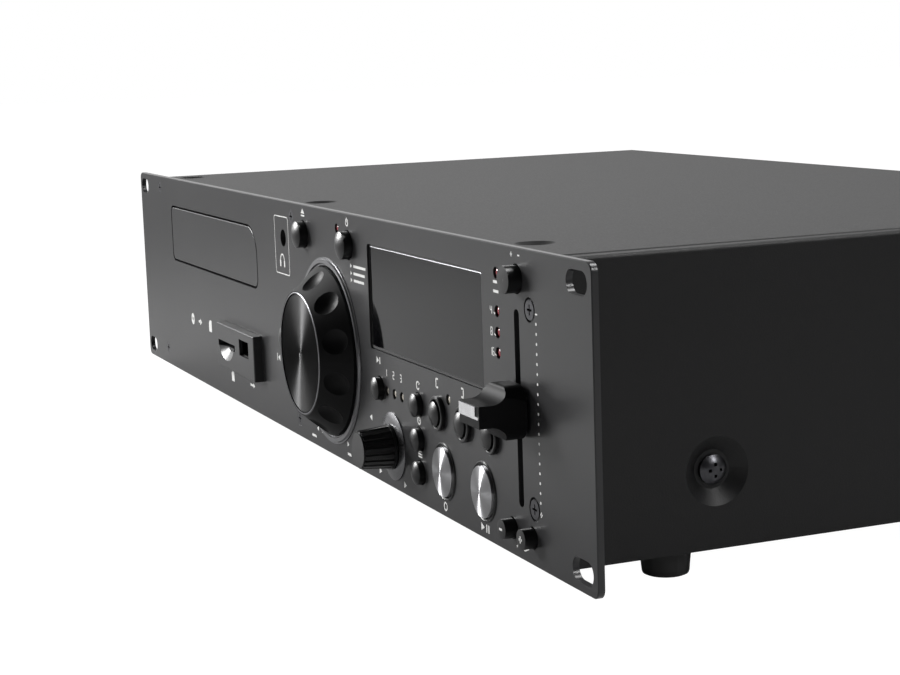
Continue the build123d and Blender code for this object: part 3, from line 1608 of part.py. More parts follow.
# Write every piece under its own name
pieces = {
    "front_panel": front_panel.part,
    "chassis_pan": chassis_pan.part,
    "top_cover": top_cover.part,
    "rear_panel": rear_panel.part,
    "feet": feet.part,
    "cover_screws": cover_screws.part,
    "panel_screws": panel_screws.part,
    "display_window": display_window.part,
    "display_module": display_module.part,
    "media_module": media_module.part,
    "card_socket": card_socket.part,
    "usb_socket": usb_socket.part,
    "phones_socket": phones_socket.part,
    "jog_ring": jog_ring.part,
    "jog_wheel": jog_wheel.part,
    "jog_plate": jog_plate_disc.part,
    "jog_bearing": jog_bearing.part,
    "selector_skirt": selector_skirt.part,
    "selector_knob": selector_knob.part,
    "selector_encoder": selector_encoder.part,
    "fader_body": fader_body.part,
    "fader_lever": fader_lever.part,
    "fader_cap": fader_cap.part,
    "fader_insert": fader_insert.part,
    "key_rings": key_rings.part,
    "key_switches": key_switches.part,
    "indicator_leds": indicator_leds.part,
    "control_board": control_board.part,
    "circuit_boards": circuit_boards.part,
    "transformer": transformer.part,
    "mains_inlet": mains_inlet.part,
    "output_sockets": output_sockets.part,
    "disc_tray": disc_tray.part,
    "drawer_front": drawer_front.part,
    "loader_frame": loader_frame.part,
    "loading_gear": loading_gear.part,
    "traverse_plate": traverse_plate.part,
    "sled_rods": sled_rods.part,
    "pickup_sled": pickup_sled.part,
    "sled_gear": sled_gear.part,
    "turntable": turntable.part,
    "spindle_motor": spindle_motor.part,
    "drive_motors": drive_motors.part,
    "clamp_bridge": clamp_bridge.part,
    "disc_clamp": disc_clamp.part,
}
pieces.update(key_parts)
os.makedirs("parts", exist_ok=True)
for name, piece in pieces.items():
    piece.label = name
    export_step(piece, f"parts/{name}.step")
print(len(pieces), "pieces written")
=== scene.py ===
# %% [markdown]
# # A rack-mounted disc player
# The CAD model gives every solid its place and size. This script gives it its looks: the
# finishes, the printing on the panel and the light. Everything is in metres, with X to the right
# along the panel, Y from the panel to the rear and Z up. The origin is the centre of the four
# rack slots, on the rear face of the panel.

from math import cos, pi, radians, sin, tau

import bmesh
import bpy
from mathutils import Matrix, Vector


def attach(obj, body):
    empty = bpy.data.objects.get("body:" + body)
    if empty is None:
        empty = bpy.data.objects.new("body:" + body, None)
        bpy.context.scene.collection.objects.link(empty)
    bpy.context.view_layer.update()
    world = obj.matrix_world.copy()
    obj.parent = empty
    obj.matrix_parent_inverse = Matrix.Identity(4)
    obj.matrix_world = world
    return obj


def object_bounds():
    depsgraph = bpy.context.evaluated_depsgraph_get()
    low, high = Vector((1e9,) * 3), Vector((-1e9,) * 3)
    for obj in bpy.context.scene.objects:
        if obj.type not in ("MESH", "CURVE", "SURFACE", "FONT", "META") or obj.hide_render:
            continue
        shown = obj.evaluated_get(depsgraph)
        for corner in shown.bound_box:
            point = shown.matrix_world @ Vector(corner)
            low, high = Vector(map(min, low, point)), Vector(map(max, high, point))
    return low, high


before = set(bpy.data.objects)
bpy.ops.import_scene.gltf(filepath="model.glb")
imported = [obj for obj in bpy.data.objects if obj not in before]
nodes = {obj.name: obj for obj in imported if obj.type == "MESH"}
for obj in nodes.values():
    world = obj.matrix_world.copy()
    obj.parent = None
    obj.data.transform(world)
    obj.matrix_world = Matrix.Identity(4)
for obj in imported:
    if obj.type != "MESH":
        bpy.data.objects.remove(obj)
cad_low, cad_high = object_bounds()
print("nodes", len(nodes), "size in mm", [round(1000 * v) for v in cad_high - cad_low])

# %% [markdown]
# The panel's drawing gives each place as a distance to the right of the middle and a height above
# the lower edge, both in millimetres. One function turns that into a point of the scene, with a
# third number for how far the point stands in front of the panel's face. A child object placed in
# the panel's frame would do as well, but pieces have to sit at the origin with their place in
# their mesh, so the points themselves are worked out.

# %% Places on the panel
MM = 0.001
PANEL_THICKNESS = 2.0
PANEL_MIDDLE = 44.05


def on_panel(x, height, proud=0.0):
    """The point of the scene at this place of the panel's drawing."""
    return Vector((x * MM, -(PANEL_THICKNESS + proud) * MM, (height - PANEL_MIDDLE) * MM))


print("lower edge", tuple(round(v, 4) for v in on_panel(0, 0)))

# %% [markdown]
# The picture is taken from the right-hand end of the panel, low over the table, with a long lens.
# A camera can be turned by eye, but the known width and height of a rack panel fix where it stood:
# 68 degrees round to the right, 9 degrees down and rolled by 2 degrees. Its axes are worked out
# from those three angles and put into its matrix, which leaves no doubt about the order of turns.

# %% Direction of the camera
YAW, PITCH, ROLL = radians(-67.83), radians(-8.61), radians(1.95)
forward = Vector((sin(YAW) * cos(PITCH), cos(YAW) * cos(PITCH), sin(PITCH)))
level_right = Vector((cos(YAW), -sin(YAW), 0))
level_down = forward.cross(level_right)
right = cos(ROLL) * level_right + sin(ROLL) * level_down
down = -sin(ROLL) * level_right + cos(ROLL) * level_down
print("the camera looks along", tuple(round(v, 2) for v in forward))

# %% [markdown]
# The lens is given as its focal length in pixels of the picture, because that is what a fit to the
# panel's corners yields. Blender wants millimetres on a sensor, so it is scaled by the width.

# %% Camera
PICTURE_WIDTH = 900
LENS_PIXELS = 1924.167
SENSOR_WIDTH = 36.0
CAMERA_PLACE = (0.672576, -0.216613, 0.098958)
scene = bpy.context.scene


def new_object(name, data):
    """An object with this data, linked to the scene and left at the origin."""
    made = bpy.data.objects.new(name, data)
    scene.collection.objects.link(made)
    return made


camera_data = bpy.data.cameras.new("camera")
camera_data.sensor_fit = "HORIZONTAL"
camera_data.sensor_width = SENSOR_WIDTH
camera_data.lens = SENSOR_WIDTH * LENS_PIXELS / PICTURE_WIDTH
camera_data.clip_start = 0.01
camera = new_object("camera", camera_data)
turn = Matrix((right, -down, -forward)).transposed()
camera.matrix_world = Matrix.Translation(CAMERA_PLACE) @ turn.to_4x4()
bpy.context.scene.camera = camera
print("lens", round(camera_data.lens, 2), "mm")

# %% [markdown]
# Every finish and every light below is a tree of nodes. Building one by hand takes three or four
# lines for each node, so one function does it: it adds the node, sets its properties, and gives
# each input either a plain value or the socket that feeds it. A second one turns a colour written
# as sRGB hex, as a paint maker gives it, into the linear numbers that Blender computes with.

# %% Helpers for node trees
def add_node(tree, kind, inputs=None, **properties):
    """Adds one node. inputs maps the name of an input to a value or to the socket that feeds it."""
    made = tree.nodes.new(kind)
    for name, value in properties.items():
        setattr(made, name, value)
    for name, value in (inputs or {}).items():
        if isinstance(value, bpy.types.NodeSocket):
            tree.links.new(value, made.inputs[name])
        else:
            made.inputs[name].default_value = value
    return made


def srgb(code):
    """The linear colour, with full alpha, of an sRGB hex code."""
    parts = [int(code[i : i + 2], 16) / 255 for i in (1, 3, 5)]
    linear = [c / 12.92 if c <= 0.04045 else ((c + 0.055) / 1.055) ** 2.4 for c in parts]
    return (*linear, 1.0)


WHITE = srgb("#ffffff")
print("middle grey is", round(srgb("#808080")[0], 3))

# %% [markdown]
# A black object in a white room would look grey all over, so a product photographer leaves the
# room dark and lets in light where it is wanted. The world does the same. To the camera it is
# white. As a light it is white on the left and fades to dark on the right, so the panel turns
# grey and the right side stays black. In reflections it is bright only far to the left, and most
# of all near the horizon, which gives the top cover its soft grey at a low angle. An image of a
# studio would do this too, but three ranges on the direction give the same and need no file.

# %% Fades of the world
scene.view_settings.view_transform = "Standard"
world = bpy.data.worlds.new("studio")
scene.world = world
world.use_nodes = True
tree = world.node_tree
tree.nodes.clear()
towards = add_node(tree, "ShaderNodeTexCoord").outputs["Generated"]
split = add_node(tree, "ShaderNodeSeparateXYZ", {"Vector": towards})
fade = add_node(
    tree, "ShaderNodeMapRange",
    {"Value": split.outputs["X"], "From Min": -0.25, "From Max": 0.6, "To Min": 1.0, "To Max": 0.05},
)
far_left = add_node(
    tree, "ShaderNodeMapRange",
    {"Value": split.outputs["X"], "From Min": -0.9, "From Max": -0.3, "To Min": 1.0, "To Max": 0.06},
)
horizon = add_node(
    tree, "ShaderNodeMapRange",
    {"Value": split.outputs["Z"], "From Min": 0.18, "From Max": 0.5, "To Min": 1.25, "To Max": 0.3},
)
print("fades", fade.name, far_left.name, horizon.name)

# %% [markdown]
# Three backgrounds share the world, and the kind of ray picks one: what the camera sees, also
# through the window, what a shiny surface mirrors, and what lights the matt surfaces.

# %% World
SOFT_LIGHT = 0.45
ray = add_node(tree, "ShaderNodeLightPath").outputs
soft = add_node(
    tree, "ShaderNodeMath", {0: fade.outputs["Result"], 1: SOFT_LIGHT}, operation="MULTIPLY"
)
bright = add_node(
    tree, "ShaderNodeMath", {0: far_left.outputs["Result"], 1: horizon.outputs["Result"]},
    operation="MULTIPLY",
)
seen = add_node(
    tree, "ShaderNodeMath", {0: ray["Is Camera Ray"], 1: ray["Is Transmission Ray"]},
    operation="MAXIMUM",
)
lit = add_node(tree, "ShaderNodeBackground", {"Color": WHITE, "Strength": soft.outputs[0]})
mirrored = add_node(tree, "ShaderNodeBackground", {"Color": WHITE, "Strength": bright.outputs[0]})
shown = add_node(tree, "ShaderNodeBackground", {"Color": WHITE, "Strength": 1.0})
glossy = add_node(
    tree, "ShaderNodeMixShader", {0: ray["Is Glossy Ray"], 1: lit.outputs[0], 2: mirrored.outputs[0]}
)
studio = add_node(
    tree, "ShaderNodeMixShader", {0: seen.outputs[0], 1: glossy.outputs[0], 2: shown.outputs[0]}
)
add_node(tree, "ShaderNodeOutputWorld", {"Surface": studio.outputs[0]})
print("world nodes", len(tree.nodes))

# %% [markdown]
# The floor is a wide sheet of white paper under the feet. Matt paper alone turns grey away from
# the lamps, but the picture is white right up to the object, so for the camera most of the sheet's
# light is a glow. In the reflections of the panel and the window it stays plain paper.

# %% Floor
FLOOR_REACH = 6.0
GLOW_SHARE = 0.8
SQUARE = ((-1, -1), (1, -1), (1, 1), (-1, 1))
floor_height = cad_low.z
corners = [(x * FLOOR_REACH, y * FLOOR_REACH, floor_height) for x, y in SQUARE]
mesh = bpy.data.meshes.new("floor")
mesh.from_pydata(corners, [], [(0, 1, 2, 3)])
floor = new_object("floor", mesh)
paper = bpy.data.materials.new("white_paper_floor")
paper.use_nodes = True
tree = paper.node_tree
tree.nodes.clear()
ray = add_node(tree, "ShaderNodeLightPath").outputs
matt = add_node(tree, "ShaderNodeBsdfDiffuse", {"Color": srgb("#b8b8b8")})
glow = add_node(tree, "ShaderNodeEmission", {"Color": WHITE, "Strength": 1.25})
share = add_node(tree, "ShaderNodeMath", {0: ray["Is Camera Ray"], 1: GLOW_SHARE}, operation="MULTIPLY")
sheet = add_node(
    tree, "ShaderNodeMixShader", {0: share.outputs[0], 1: matt.outputs[0], 2: glow.outputs[0]}
)
add_node(tree, "ShaderNodeOutputMaterial", {"Surface": sheet.outputs[0]})
mesh.materials.append(paper)
print("floor at", round(floor_height / MM, 1), "mm")

# %% [markdown]
# Three softboxes light the object. The shadows of the fader's cap and of the keys fall to the
# right, so the first stands in front of the panel on its left. The second hangs over the cover.
# The third is small and stands behind on the right: it draws the thin line along the cover's bend,
# the lower rim of the dimple and the spot on the screw in it. Area lamps are used because a
# softbox is one, and a narrow spread stands for the cloth grid that keeps its light off the rest.

# %% Lamps
def softbox(name, place, aim, side, power, spread=180.0):
    """A square softbox at a place, turned to what it aims at, with its power in watts."""
    data = bpy.data.lights.new(name, "AREA")
    data.size = side
    data.energy = power
    data.spread = radians(spread)
    lamp = new_object(name, data)
    lamp.location = place
    lamp.rotation_euler = (Vector(aim) - Vector(place)).to_track_quat("-Z", "Y").to_euler()


softbox("front_left_softbox", (-1.0, -0.75, 0.5), (0.08, 0.0, 0.02), 0.5, 3.6, spread=60.0)
softbox("overhead_softbox", (0.2, 0.6, 1.3), (0.1, 0.1, 0.0), 0.5, 14.0)
softbox("right_rear_softbox", (1.15, 0.62, 0.85), (0.213, 0.12, 0.0), 0.25, 1.0, spread=60.0)

# %% [markdown]
# Each finish is a small tree on the Principled shader, which has an input for every property that
# a real surface has. A value that is the same all over is set on the input itself. Patterns read
# Object coordinates, because those are metres here and stay on the piece when it moves.

# %% Start of a finish
def shader_tree(name, **settings):
    """A new material, with its tree, its Principled shader and its object coordinates."""
    material = bpy.data.materials.new(name)
    material.use_nodes = True
    tree = material.node_tree
    tree.nodes.clear()
    inputs = {key.replace("_", " "): value for key, value in settings.items()}
    shader = add_node(tree, "ShaderNodeBsdfPrincipled", inputs)
    add_node(tree, "ShaderNodeOutputMaterial", {"Surface": shader.outputs[0]})
    place = add_node(tree, "ShaderNodeTexCoord").outputs["Object"]
    return material, tree, shader, place


print("a finish starts as a tree of three nodes")

# %% [markdown]
# Real surfaces are never one flat colour, so two close colours alternate in soft patches, and a
# bump gives the skin its grain. The grain could be pressed into the mesh, but it is far finer than
# the mesh. Sizes are given in real millimetres: a grain of 0.5 mm is a noise of scale 2000.

# %% Patterns
def patches(tree, place, shader, size_mm, low, high):
    """Uneven colour between two hex values, in soft patches of a real size."""
    noise = add_node(
        tree, "ShaderNodeTexNoise", {"Vector": place, "Scale": 1 / (size_mm * MM), "Detail": 3.0}
    )
    ramp = add_node(tree, "ShaderNodeValToRGB", {"Fac": noise.outputs["Fac"]})
    for stop, position, code in zip(ramp.color_ramp.elements, (0.3, 0.7), (low, high)):
        stop.position = position
        stop.color = srgb(code)
    tree.links.new(ramp.outputs["Color"], shader.inputs["Base Color"])
    return ramp.outputs["Color"]


def relief(tree, value, shader, height_mm, strength=1.0):
    """Turns a pattern's value into a bump of a real height."""
    bump = add_node(
        tree, "ShaderNodeBump", {"Height": value, "Strength": strength, "Distance": height_mm * MM}
    )
    tree.links.new(bump.outputs["Normal"], shader.inputs["Normal"])


def grain(tree, place, shader, size_mm, height_mm, detail=2.0):
    """Adds a bumpy grain of a real size and height, and returns the noise's value."""
    noise = add_node(
        tree, "ShaderNodeTexNoise", {"Vector": place, "Scale": 1 / (size_mm * MM), "Detail": detail}
    )
    relief(tree, noise.outputs["Fac"], shader, height_mm)
    return noise.outputs["Fac"]


def uneven_gloss(tree, value, shader, low, high):
    """Lets a pattern move the roughness between two values."""
    ranged = add_node(tree, "ShaderNodeMapRange", {"Value": value, "To Min": low, "To Max": high})
    tree.links.new(ranged.outputs["Result"], shader.inputs["Roughness"])


print("a grain of half a millimetre has the scale", round(1 / (0.5 * MM)))

# %% [markdown]
# Most finishes need nothing more than their two colours and a grain, so one function makes them.
# Its numbers are the size of the patches, then the size and the height of the grain.

# %% Plain finishes
def finish(name, patch_mm, low, high, grain_mm, height_mm, **settings):
    """A finish of two colours in patches and a grain, with the shader's own settings."""
    material, tree, shader, place = shader_tree(name, **settings)
    patches(tree, place, shader, patch_mm, low, high)
    grain(tree, place, shader, grain_mm, height_mm)
    return material


print("materials so far", [material.name for material in bpy.data.materials])

# %% [markdown]
# The front panel is sheet steel with a baked satin paint. It could be a plain dark colour, but
# then its large flat face would look like paper. A faint orange peel, from the paint's surface
# tension, breaks its reflection of the bright floor just enough to show that it is a coat.

# %% Satin paint
# Satin enamel on steel: an even black that turns to a calm grey where the eye meets it at a low angle
panel_paint = finish(
    "satin_black_paint", 60, "#29292a", "#2e2e2f", 0.9, 0.004,
    Roughness=0.3, IOR=1.5, Specular_IOR_Level=0.34,
)
print("panel", panel_paint.name)

# %% [markdown]
# The cover is powder-coated: the powder melts in the oven and leaves a pebble of about half a
# millimetre. Real displacement would need millions of faces, so it is a bump, and the same noise
# moves the roughness, because the tops of the pebbles are smoother than the valleys.

# %% Powder coat
# Powder coat on steel: the pebble spreads every highlight, so the sides are nearly black, the top is
# a soft grey, and only the sharp bend keeps a bright line
powder_coat, tree, shader, place = shader_tree("black_powder_coat", Roughness=0.47, IOR=1.4)
patches(tree, place, shader, 40, "#070708", "#0a0a0b")
pebble = grain(tree, place, shader, 0.6, 0.04, detail=3.0)
uneven_gloss(tree, pebble, shader, 0.4, 0.54)
print("cover", powder_coat.name)

# %% [markdown]
# Inside are zinc-plated sheets, and the screws are blacked steel. The zinc's cloudy look could be
# painted by hand, but one noise for the roughness gives it everywhere. The cross in a screw's head
# is hard to see in black metal, so painted shade turns the blacking near black wherever the metal
# is sheltered, as in the cross.

# %% Sheet metal and screws
# Zinc plate: pale grey with faint clouds, where the crystals of the zinc turn in other directions
zinc_sheet, tree, shader, place = shader_tree("zinc_plated_steel", Metallic=1.0, Roughness=0.38)
patches(tree, place, shader, 6, "#a8abad", "#bfc2c4")
clouds = grain(tree, place, shader, 1.5, 0.004)
uneven_gloss(tree, clouds, shader, 0.3, 0.46)

# Black oxide on steel: a dark metal that still shines on its round head, with painted shade that turns
# its cross near black
RECESS_DEPTH = 1.2
black_oxide, tree, shader, place = shader_tree("black_oxide_steel", Metallic=1.0, Roughness=0.36)
blacking = patches(tree, place, shader, 2, "#444447", "#565659")
grain(tree, place, shader, 0.2, 0.006)
# Painted shade: where ambient occlusion finds the metal sheltered, the colour is mixed towards near black
open_sky = add_node(tree, "ShaderNodeAmbientOcclusion", {"Distance": RECESS_DEPTH * MM})
unshaded_share = add_node(
    tree, "ShaderNodeMapRange", {"Value": open_sky.outputs["AO"], "From Min": 0.45, "From Max": 0.9}
)
recess_shaded_color = add_node(
    tree, "ShaderNodeMix", {"Factor": unshaded_share.outputs["Result"], "A": srgb("#050505"), "B": blacking},
    data_type="RGBA",
)
tree.links.new(recess_shaded_color.outputs["Result"], shader.inputs["Base Color"])
print("steel", zinc_sheet.name, black_oxide.name)

# %% [markdown]
# Sockets, motor cans and rods are plated or ground. They differ mostly in colour and gloss, so
# each is the same small tree with its own values. The default index of refraction stays on metals,
# because their colour comes from the base colour alone.

# %% Plated and ground parts
# Black nickel on the socket's shell: brownish black and glossy
black_nickel = finish(
    "black_nickel_plate", 3, "#1c1b19", "#262522", 0.3, 0.002, Metallic=1.0, Roughness=0.3,
)
# Bright nickel on motors and connectors: a warm, clear mirror
nickel_plate = finish(
    "bright_nickel_plate", 5, "#b9b6ae", "#cbc8c0", 0.3, 0.002, Metallic=1.0, Roughness=0.22,
)
# Ground steel of rods and the fader's lever: cooler and brighter than the sheets round it
ground_steel = finish(
    "ground_steel", 3, "#aeb0b2", "#c4c6c8", 0.15, 0.001, Metallic=1.0, Roughness=0.2,
)
print("plated", black_nickel.name, nickel_plate.name, ground_steel.name)

# %% [markdown]
# A transformer's core is a stack of thin steel sheets in varnish. A hundred real sheets would be
# a waste inside a closed case, so a wave texture draws their edges. At scale 1 a wave repeats
# after a twentieth of a full turn in radians, which gives the scale for a wanted pitch. The real
# pitch of half a millimetre is drawn at two, because it would be too fine to see.

# %% Transformer core
WAVE_LENGTH = tau / 20
SHEET_PITCH = 1.974
# Varnished laminations: brown-grey metal with fine parallel lines along its edges
laminations, tree, shader, place = shader_tree("varnished_laminations", Metallic=0.6, Roughness=0.5)
sheets = add_node(
    tree, "ShaderNodeTexWave",
    {"Vector": place, "Scale": WAVE_LENGTH / (SHEET_PITCH * MM), "Distortion": 0.4},
    wave_type="BANDS", bands_direction="Y",
)
relief(tree, sheets.outputs["Fac"], shader, 0.05)
patches(tree, place, shader, 8, "#5c5750", "#706a62")
print("core", laminations.name)

# %% [markdown]
# Three bright trims stand out on the black panel: the plate in the fader's cap, the ring round the
# jog wheel and the domed skirt of the selector. They are moulded plastic with a metal layer, hot
# stamped or sprayed, so they are a little less sharp than real metal.

# %% Silver trim
# Hot-stamped chrome foil: the brightest spot of the panel, with the foil's slight waviness
chrome_trim = finish(
    "hot_stamped_chrome", 2, "#d8d8da", "#e6e6e8", 0.25, 0.004, Metallic=1.0, Roughness=0.24,
)
# Grey metallic paint: flakes under a clear coat, a soft sheen with no clear reflection
silver_ring = finish(
    "satin_grey_metal_paint", 10, "#737375", "#7d7d7f", 0.2, 0.002, Metallic=0.85, Roughness=0.34,
)
# Silver paint on the skirt: smoother, so the dome shows a bright rim and a dark middle
satin_silver = finish(
    "satin_silver_paint", 10, "#707072", "#7a7a7c", 0.2, 0.002, Metallic=1.0, Roughness=0.26,
)
print("trim", chrome_trim.name, silver_ring.name, satin_silver.name)

# %% [markdown]
# The plate in the jog wheel and the two large keys are turned, so they carry fine circular
# grooves. Light that crosses the grooves is spread and the highlight becomes a pair of wedges.
# Painted wedges would stay in place when the light changes, so the shader's anisotropy makes them,
# with a tangent that points straight out from the axis. Rings from a wave add the grooves. Real
# ones are finer than a tenth of a millimetre and are drawn at about one, so that they show.

# %% Spun metal
JOG = (32.3, 37.75)
CUE = (137.8, 14.25)
PLAY = (168.2, 14.25)


def spun_metal(name, middle, groove_mm, low, high, roughness):
    """Turned metal with its grooves round this place of the panel."""
    material, tree, shader, place = shader_tree(
        name, Metallic=1.0, Roughness=roughness, Anisotropic=1.0
    )
    centre = add_node(
        tree, "ShaderNodeMapping", {"Vector": place, "Location": on_panel(*middle)}, vector_type="TEXTURE"
    )
    rings = add_node(
        tree, "ShaderNodeTexWave",
        {"Vector": centre.outputs[0], "Scale": WAVE_LENGTH / (groove_mm * MM), "Distortion": 0.0},
        wave_type="RINGS", rings_direction="Y",
    )
    relief(tree, rings.outputs["Fac"], shader, 0.004, strength=0.6)
    outward = add_node(tree, "ShaderNodeVectorMath", {0: centre.outputs[0]}, operation="NORMALIZE")
    tree.links.new(outward.outputs[0], shader.inputs["Tangent"])
    patches(tree, place, shader, 12, low, high)
    return material


# Dark anodised aluminium: black from the front, with two grey wedges that meet at the axis
dark_spun = spun_metal("dark_spun_aluminium", JOG, 0.987, "#09090a", "#0d0d0e", 0.5)
# Natural aluminium under lacquer: pale wedges on mid grey, the lightest faces of the panel
cue_spun = spun_metal("spun_aluminium_left", CUE, 0.691, "#a8a8aa", "#b8b8ba", 0.36)
play_spun = spun_metal("spun_aluminium_right", PLAY, 0.691, "#a8a8aa", "#b8b8ba", 0.36)
print("spun metals", dark_spun.name, cue_spun.name, play_spun.name)

# %% [markdown]
# Knobs, keys and caps are injection-moulded ABS. One black plastic for all would be simpler, but
# the moulds differ: most are spark-eroded and give a satin skin, some are polished, and the
# fader's cap and the jog wheel have a matt lacquer for grip. So each has its own gloss, while
# their blacks stay close together.

# %% Plastics of the controls
# Satin ABS of the selector: the flutes catch narrow grey lines
satin_abs = finish(
    "satin_black_abs", 15, "#0c0c0d", "#101011", 0.3, 0.006, Roughness=0.34, IOR=1.53,
)
# Matt ABS of the fader's cap: its hollow top fades slowly from grey to black
cap_abs = finish(
    "matt_black_abs", 12, "#0c0c0d", "#111112", 0.3, 0.008,
    Roughness=0.55, IOR=1.5, Specular_IOR_Level=0.1,
)
# Soft-touch lacquer of the jog wheel: deep black, with dim highlights in the finger dimples
wheel_abs = finish(
    "soft_touch_black", 20, "#0b0b0c", "#0f0f10", 0.3, 0.005,
    Roughness=0.5, IOR=1.5, Specular_IOR_Level=0.13,
)
# Polished ABS of the rings round the keys: thin bright rims
gloss_abs = finish(
    "polished_black_abs", 15, "#0e0e0f", "#131314", 0.8, 0.002,
    Roughness=0.28, IOR=1.5, Specular_IOR_Level=0.4,
)
# ABS of the small keys: a round highlight on each dome
key_abs = finish(
    "key_cap_abs", 6, "#0e0e0f", "#131314", 0.25, 0.003,
    Roughness=0.34, IOR=1.53, Specular_IOR_Level=0.36,
)
print("controls", satin_abs.name, cap_abs.name, wheel_abs.name, gloss_abs.name, key_abs.name)

# %% [markdown]
# The tray, the loader's frame, the gears and the feet are seen only when the drawer is out or from
# below. They get the plastics and the rubber that such parts are made of, in the same way.

# %% Plastics of the mechanism
# Polystyrene of the disc tray: black and smooth, greyer than the controls
tray_plastic = finish(
    "moulded_black_polystyrene", 30, "#151516", "#1b1b1c", 0.4, 0.008, Roughness=0.33, IOR=1.59,
)
# Glass-filled ABS of frames and sockets: dull, with fibres that roughen the skin
frame_plastic = finish(
    "glass_filled_abs", 10, "#1b1b1c", "#232323", 0.6, 0.02, Roughness=0.55, IOR=1.53,
)
# White acetal of gears and bushes: waxy, because a little light goes into it
acetal = finish(
    "white_acetal", 6, "#e2dfd6", "#ebe8e0", 0.4, 0.004,
    Roughness=0.4, IOR=1.48, Subsurface_Weight=0.15, Subsurface_Scale=2 * MM,
)
# Moulded rubber of the feet: the dullest black of all
foot_rubber = finish(
    "moulded_rubber", 5, "#0a0a0a", "#0f0f0f", 0.5, 0.02, Roughness=0.62, IOR=1.52,
)
print("mechanism", tray_plastic.name, frame_plastic.name, acetal.name, foot_rubber.name)

# %% [markdown]
# The window is a sheet of smoked acrylic, almost black so that the unlit display vanishes behind
# it. Full transmission with a real absorption would be slower to render and look the same, so a
# third of the light goes through a dark colour. Behind it is the glass of the display, switched
# off.

# %% Window and display
# Smoked acrylic: smooth enough to mirror the jog wheel beside it
smoked_acrylic = finish(
    "smoked_acrylic", 80, "#0a0a0c", "#0d0d0f", 12, 0.002,
    Roughness=0.04, IOR=1.49, Transmission_Weight=0.35, Specular_IOR_Level=0.12,
)
# Unlit display glass: a cold black, a little bluer than what surrounds it
display_glass = finish(
    "unlit_display_glass", 10, "#05070a", "#0a0c10", 2, 0.001, Roughness=0.1, IOR=1.5,
)
print("display", smoked_acrylic.name, display_glass.name)

# %% [markdown]
# Circuit boards are glass cloth under green lacquer, with the copper tracks as a slight relief.
# Indicator lamps are tinted epoxy: the ones high on the panel are red, those low on it are clear.
# All lamps are one piece of the CAD model, so the height above the middle of the panel picks the
# tint, which is shorter than making one material for each lamp.

# %% Boards and lamps
TRACK_GRID = 6.0
# Solder mask: a deep glossy green, with rows of low blocks where the copper lies
circuit_green, tree, shader, place = shader_tree("green_circuit_board", Roughness=0.35, IOR=1.5)
patches(tree, place, shader, 3, "#12401f", "#185328")
tracks = add_node(tree, "ShaderNodeTexBrick", {"Vector": place, "Scale": 1 / (TRACK_GRID * MM)})
relief(tree, tracks.outputs["Fac"], shader, 0.03)

# Tinted epoxy: a small clear or dark red drop with a sharp highlight
lamp_epoxy, tree, shader, place = shader_tree(
    "tinted_lamp_epoxy", Roughness=0.25, IOR=1.55, Transmission_Weight=0.2
)
split = add_node(tree, "ShaderNodeSeparateXYZ", {"Vector": place})
upper = add_node(tree, "ShaderNodeMath", {0: split.outputs["Z"], 1: 0.0}, operation="GREATER_THAN")
tint = add_node(
    tree, "ShaderNodeMix",
    {"Factor": upper.outputs[0], "A": srgb("#b9b3a6"), "B": srgb("#8e1f2b")}, data_type="RGBA",
)
tree.links.new(tint.outputs["Result"], shader.inputs["Base Color"])
grain(tree, place, shader, 0.6, 0.003)
print("electronics", circuit_green.name, lamp_epoxy.name)

# %% [markdown]
# Every CAD piece now gets its finish. The pieces keep their own mesh and place: only the material
# in their slots changes. The table goes from each finish to its pieces, as a painter's list does,
# and whatever it doesn't name is one of the small keys.

# %% Dress the CAD pieces
dressed = {
    panel_paint: ("front_panel", "drawer_front", "media_module"),
    powder_coat: ("top_cover", "rear_panel"),
    zinc_sheet: ("chassis_pan", "traverse_plate", "clamp_bridge", "selector_encoder", "fader_body"),
    nickel_plate: ("spindle_motor", "drive_motors", "output_sockets"),
    black_nickel: ("usb_socket",),
    ground_steel: ("sled_rods", "fader_lever"),
    black_oxide: ("cover_screws", "panel_screws"),
    laminations: ("transformer",),
    chrome_trim: ("fader_insert",),
    silver_ring: ("jog_ring",),
    satin_silver: ("selector_skirt",),
    dark_spun: ("jog_plate",),
    cue_spun: ("cue_key",),
    play_spun: ("play_key",),
    satin_abs: ("selector_knob",),
    cap_abs: ("fader_cap",),
    wheel_abs: ("jog_wheel",),
    gloss_abs: ("phones_socket", "key_rings"),
    tray_plastic: ("disc_tray",),
    frame_plastic: (
        "card_socket", "key_switches", "mains_inlet", "loader_frame", "pickup_sled", "turntable",
    ),
    acetal: ("jog_bearing", "loading_gear", "sled_gear", "disc_clamp"),
    foot_rubber: ("feet",),
    smoked_acrylic: ("display_window",),
    display_glass: ("display_module",),
    circuit_green: ("control_board", "circuit_boards"),
    lamp_epoxy: ("indicator_leds",),
}
finish_of = {name: material for material, names in dressed.items() for name in names}
for name, node in nodes.items():
    for slot in node.material_slots:
        slot.material = finish_of.get(name, key_abs)
print("dressed", len(nodes), "nodes,", len(nodes) - len(finish_of), "of them as keys")

# %% [markdown]
# The signs on the panel are white screen-printed ink, a few hundredths of a millimetre thick. They
# could be a picture on the paint, but real strokes stay sharp at any distance. Each sign is a list
# of flat outlines in millimetres on the panel, drawn with four small tools: a stroke, a line of
# strokes, an arc and an arrow head.

# %% Drawing tools
def stroke(start, end, width=0.5):
    """A straight line of ink."""
    a, b = Vector(start), Vector(end)
    side = (b - a).normalized().orthogonal() * width / 2
    return [(a - side, b - side, b + side, a + side)]


def lines(points, width=0.5):
    """A line of strokes from point to point."""
    return [outline for pair in zip(points, points[1:]) for outline in stroke(*pair, width)]


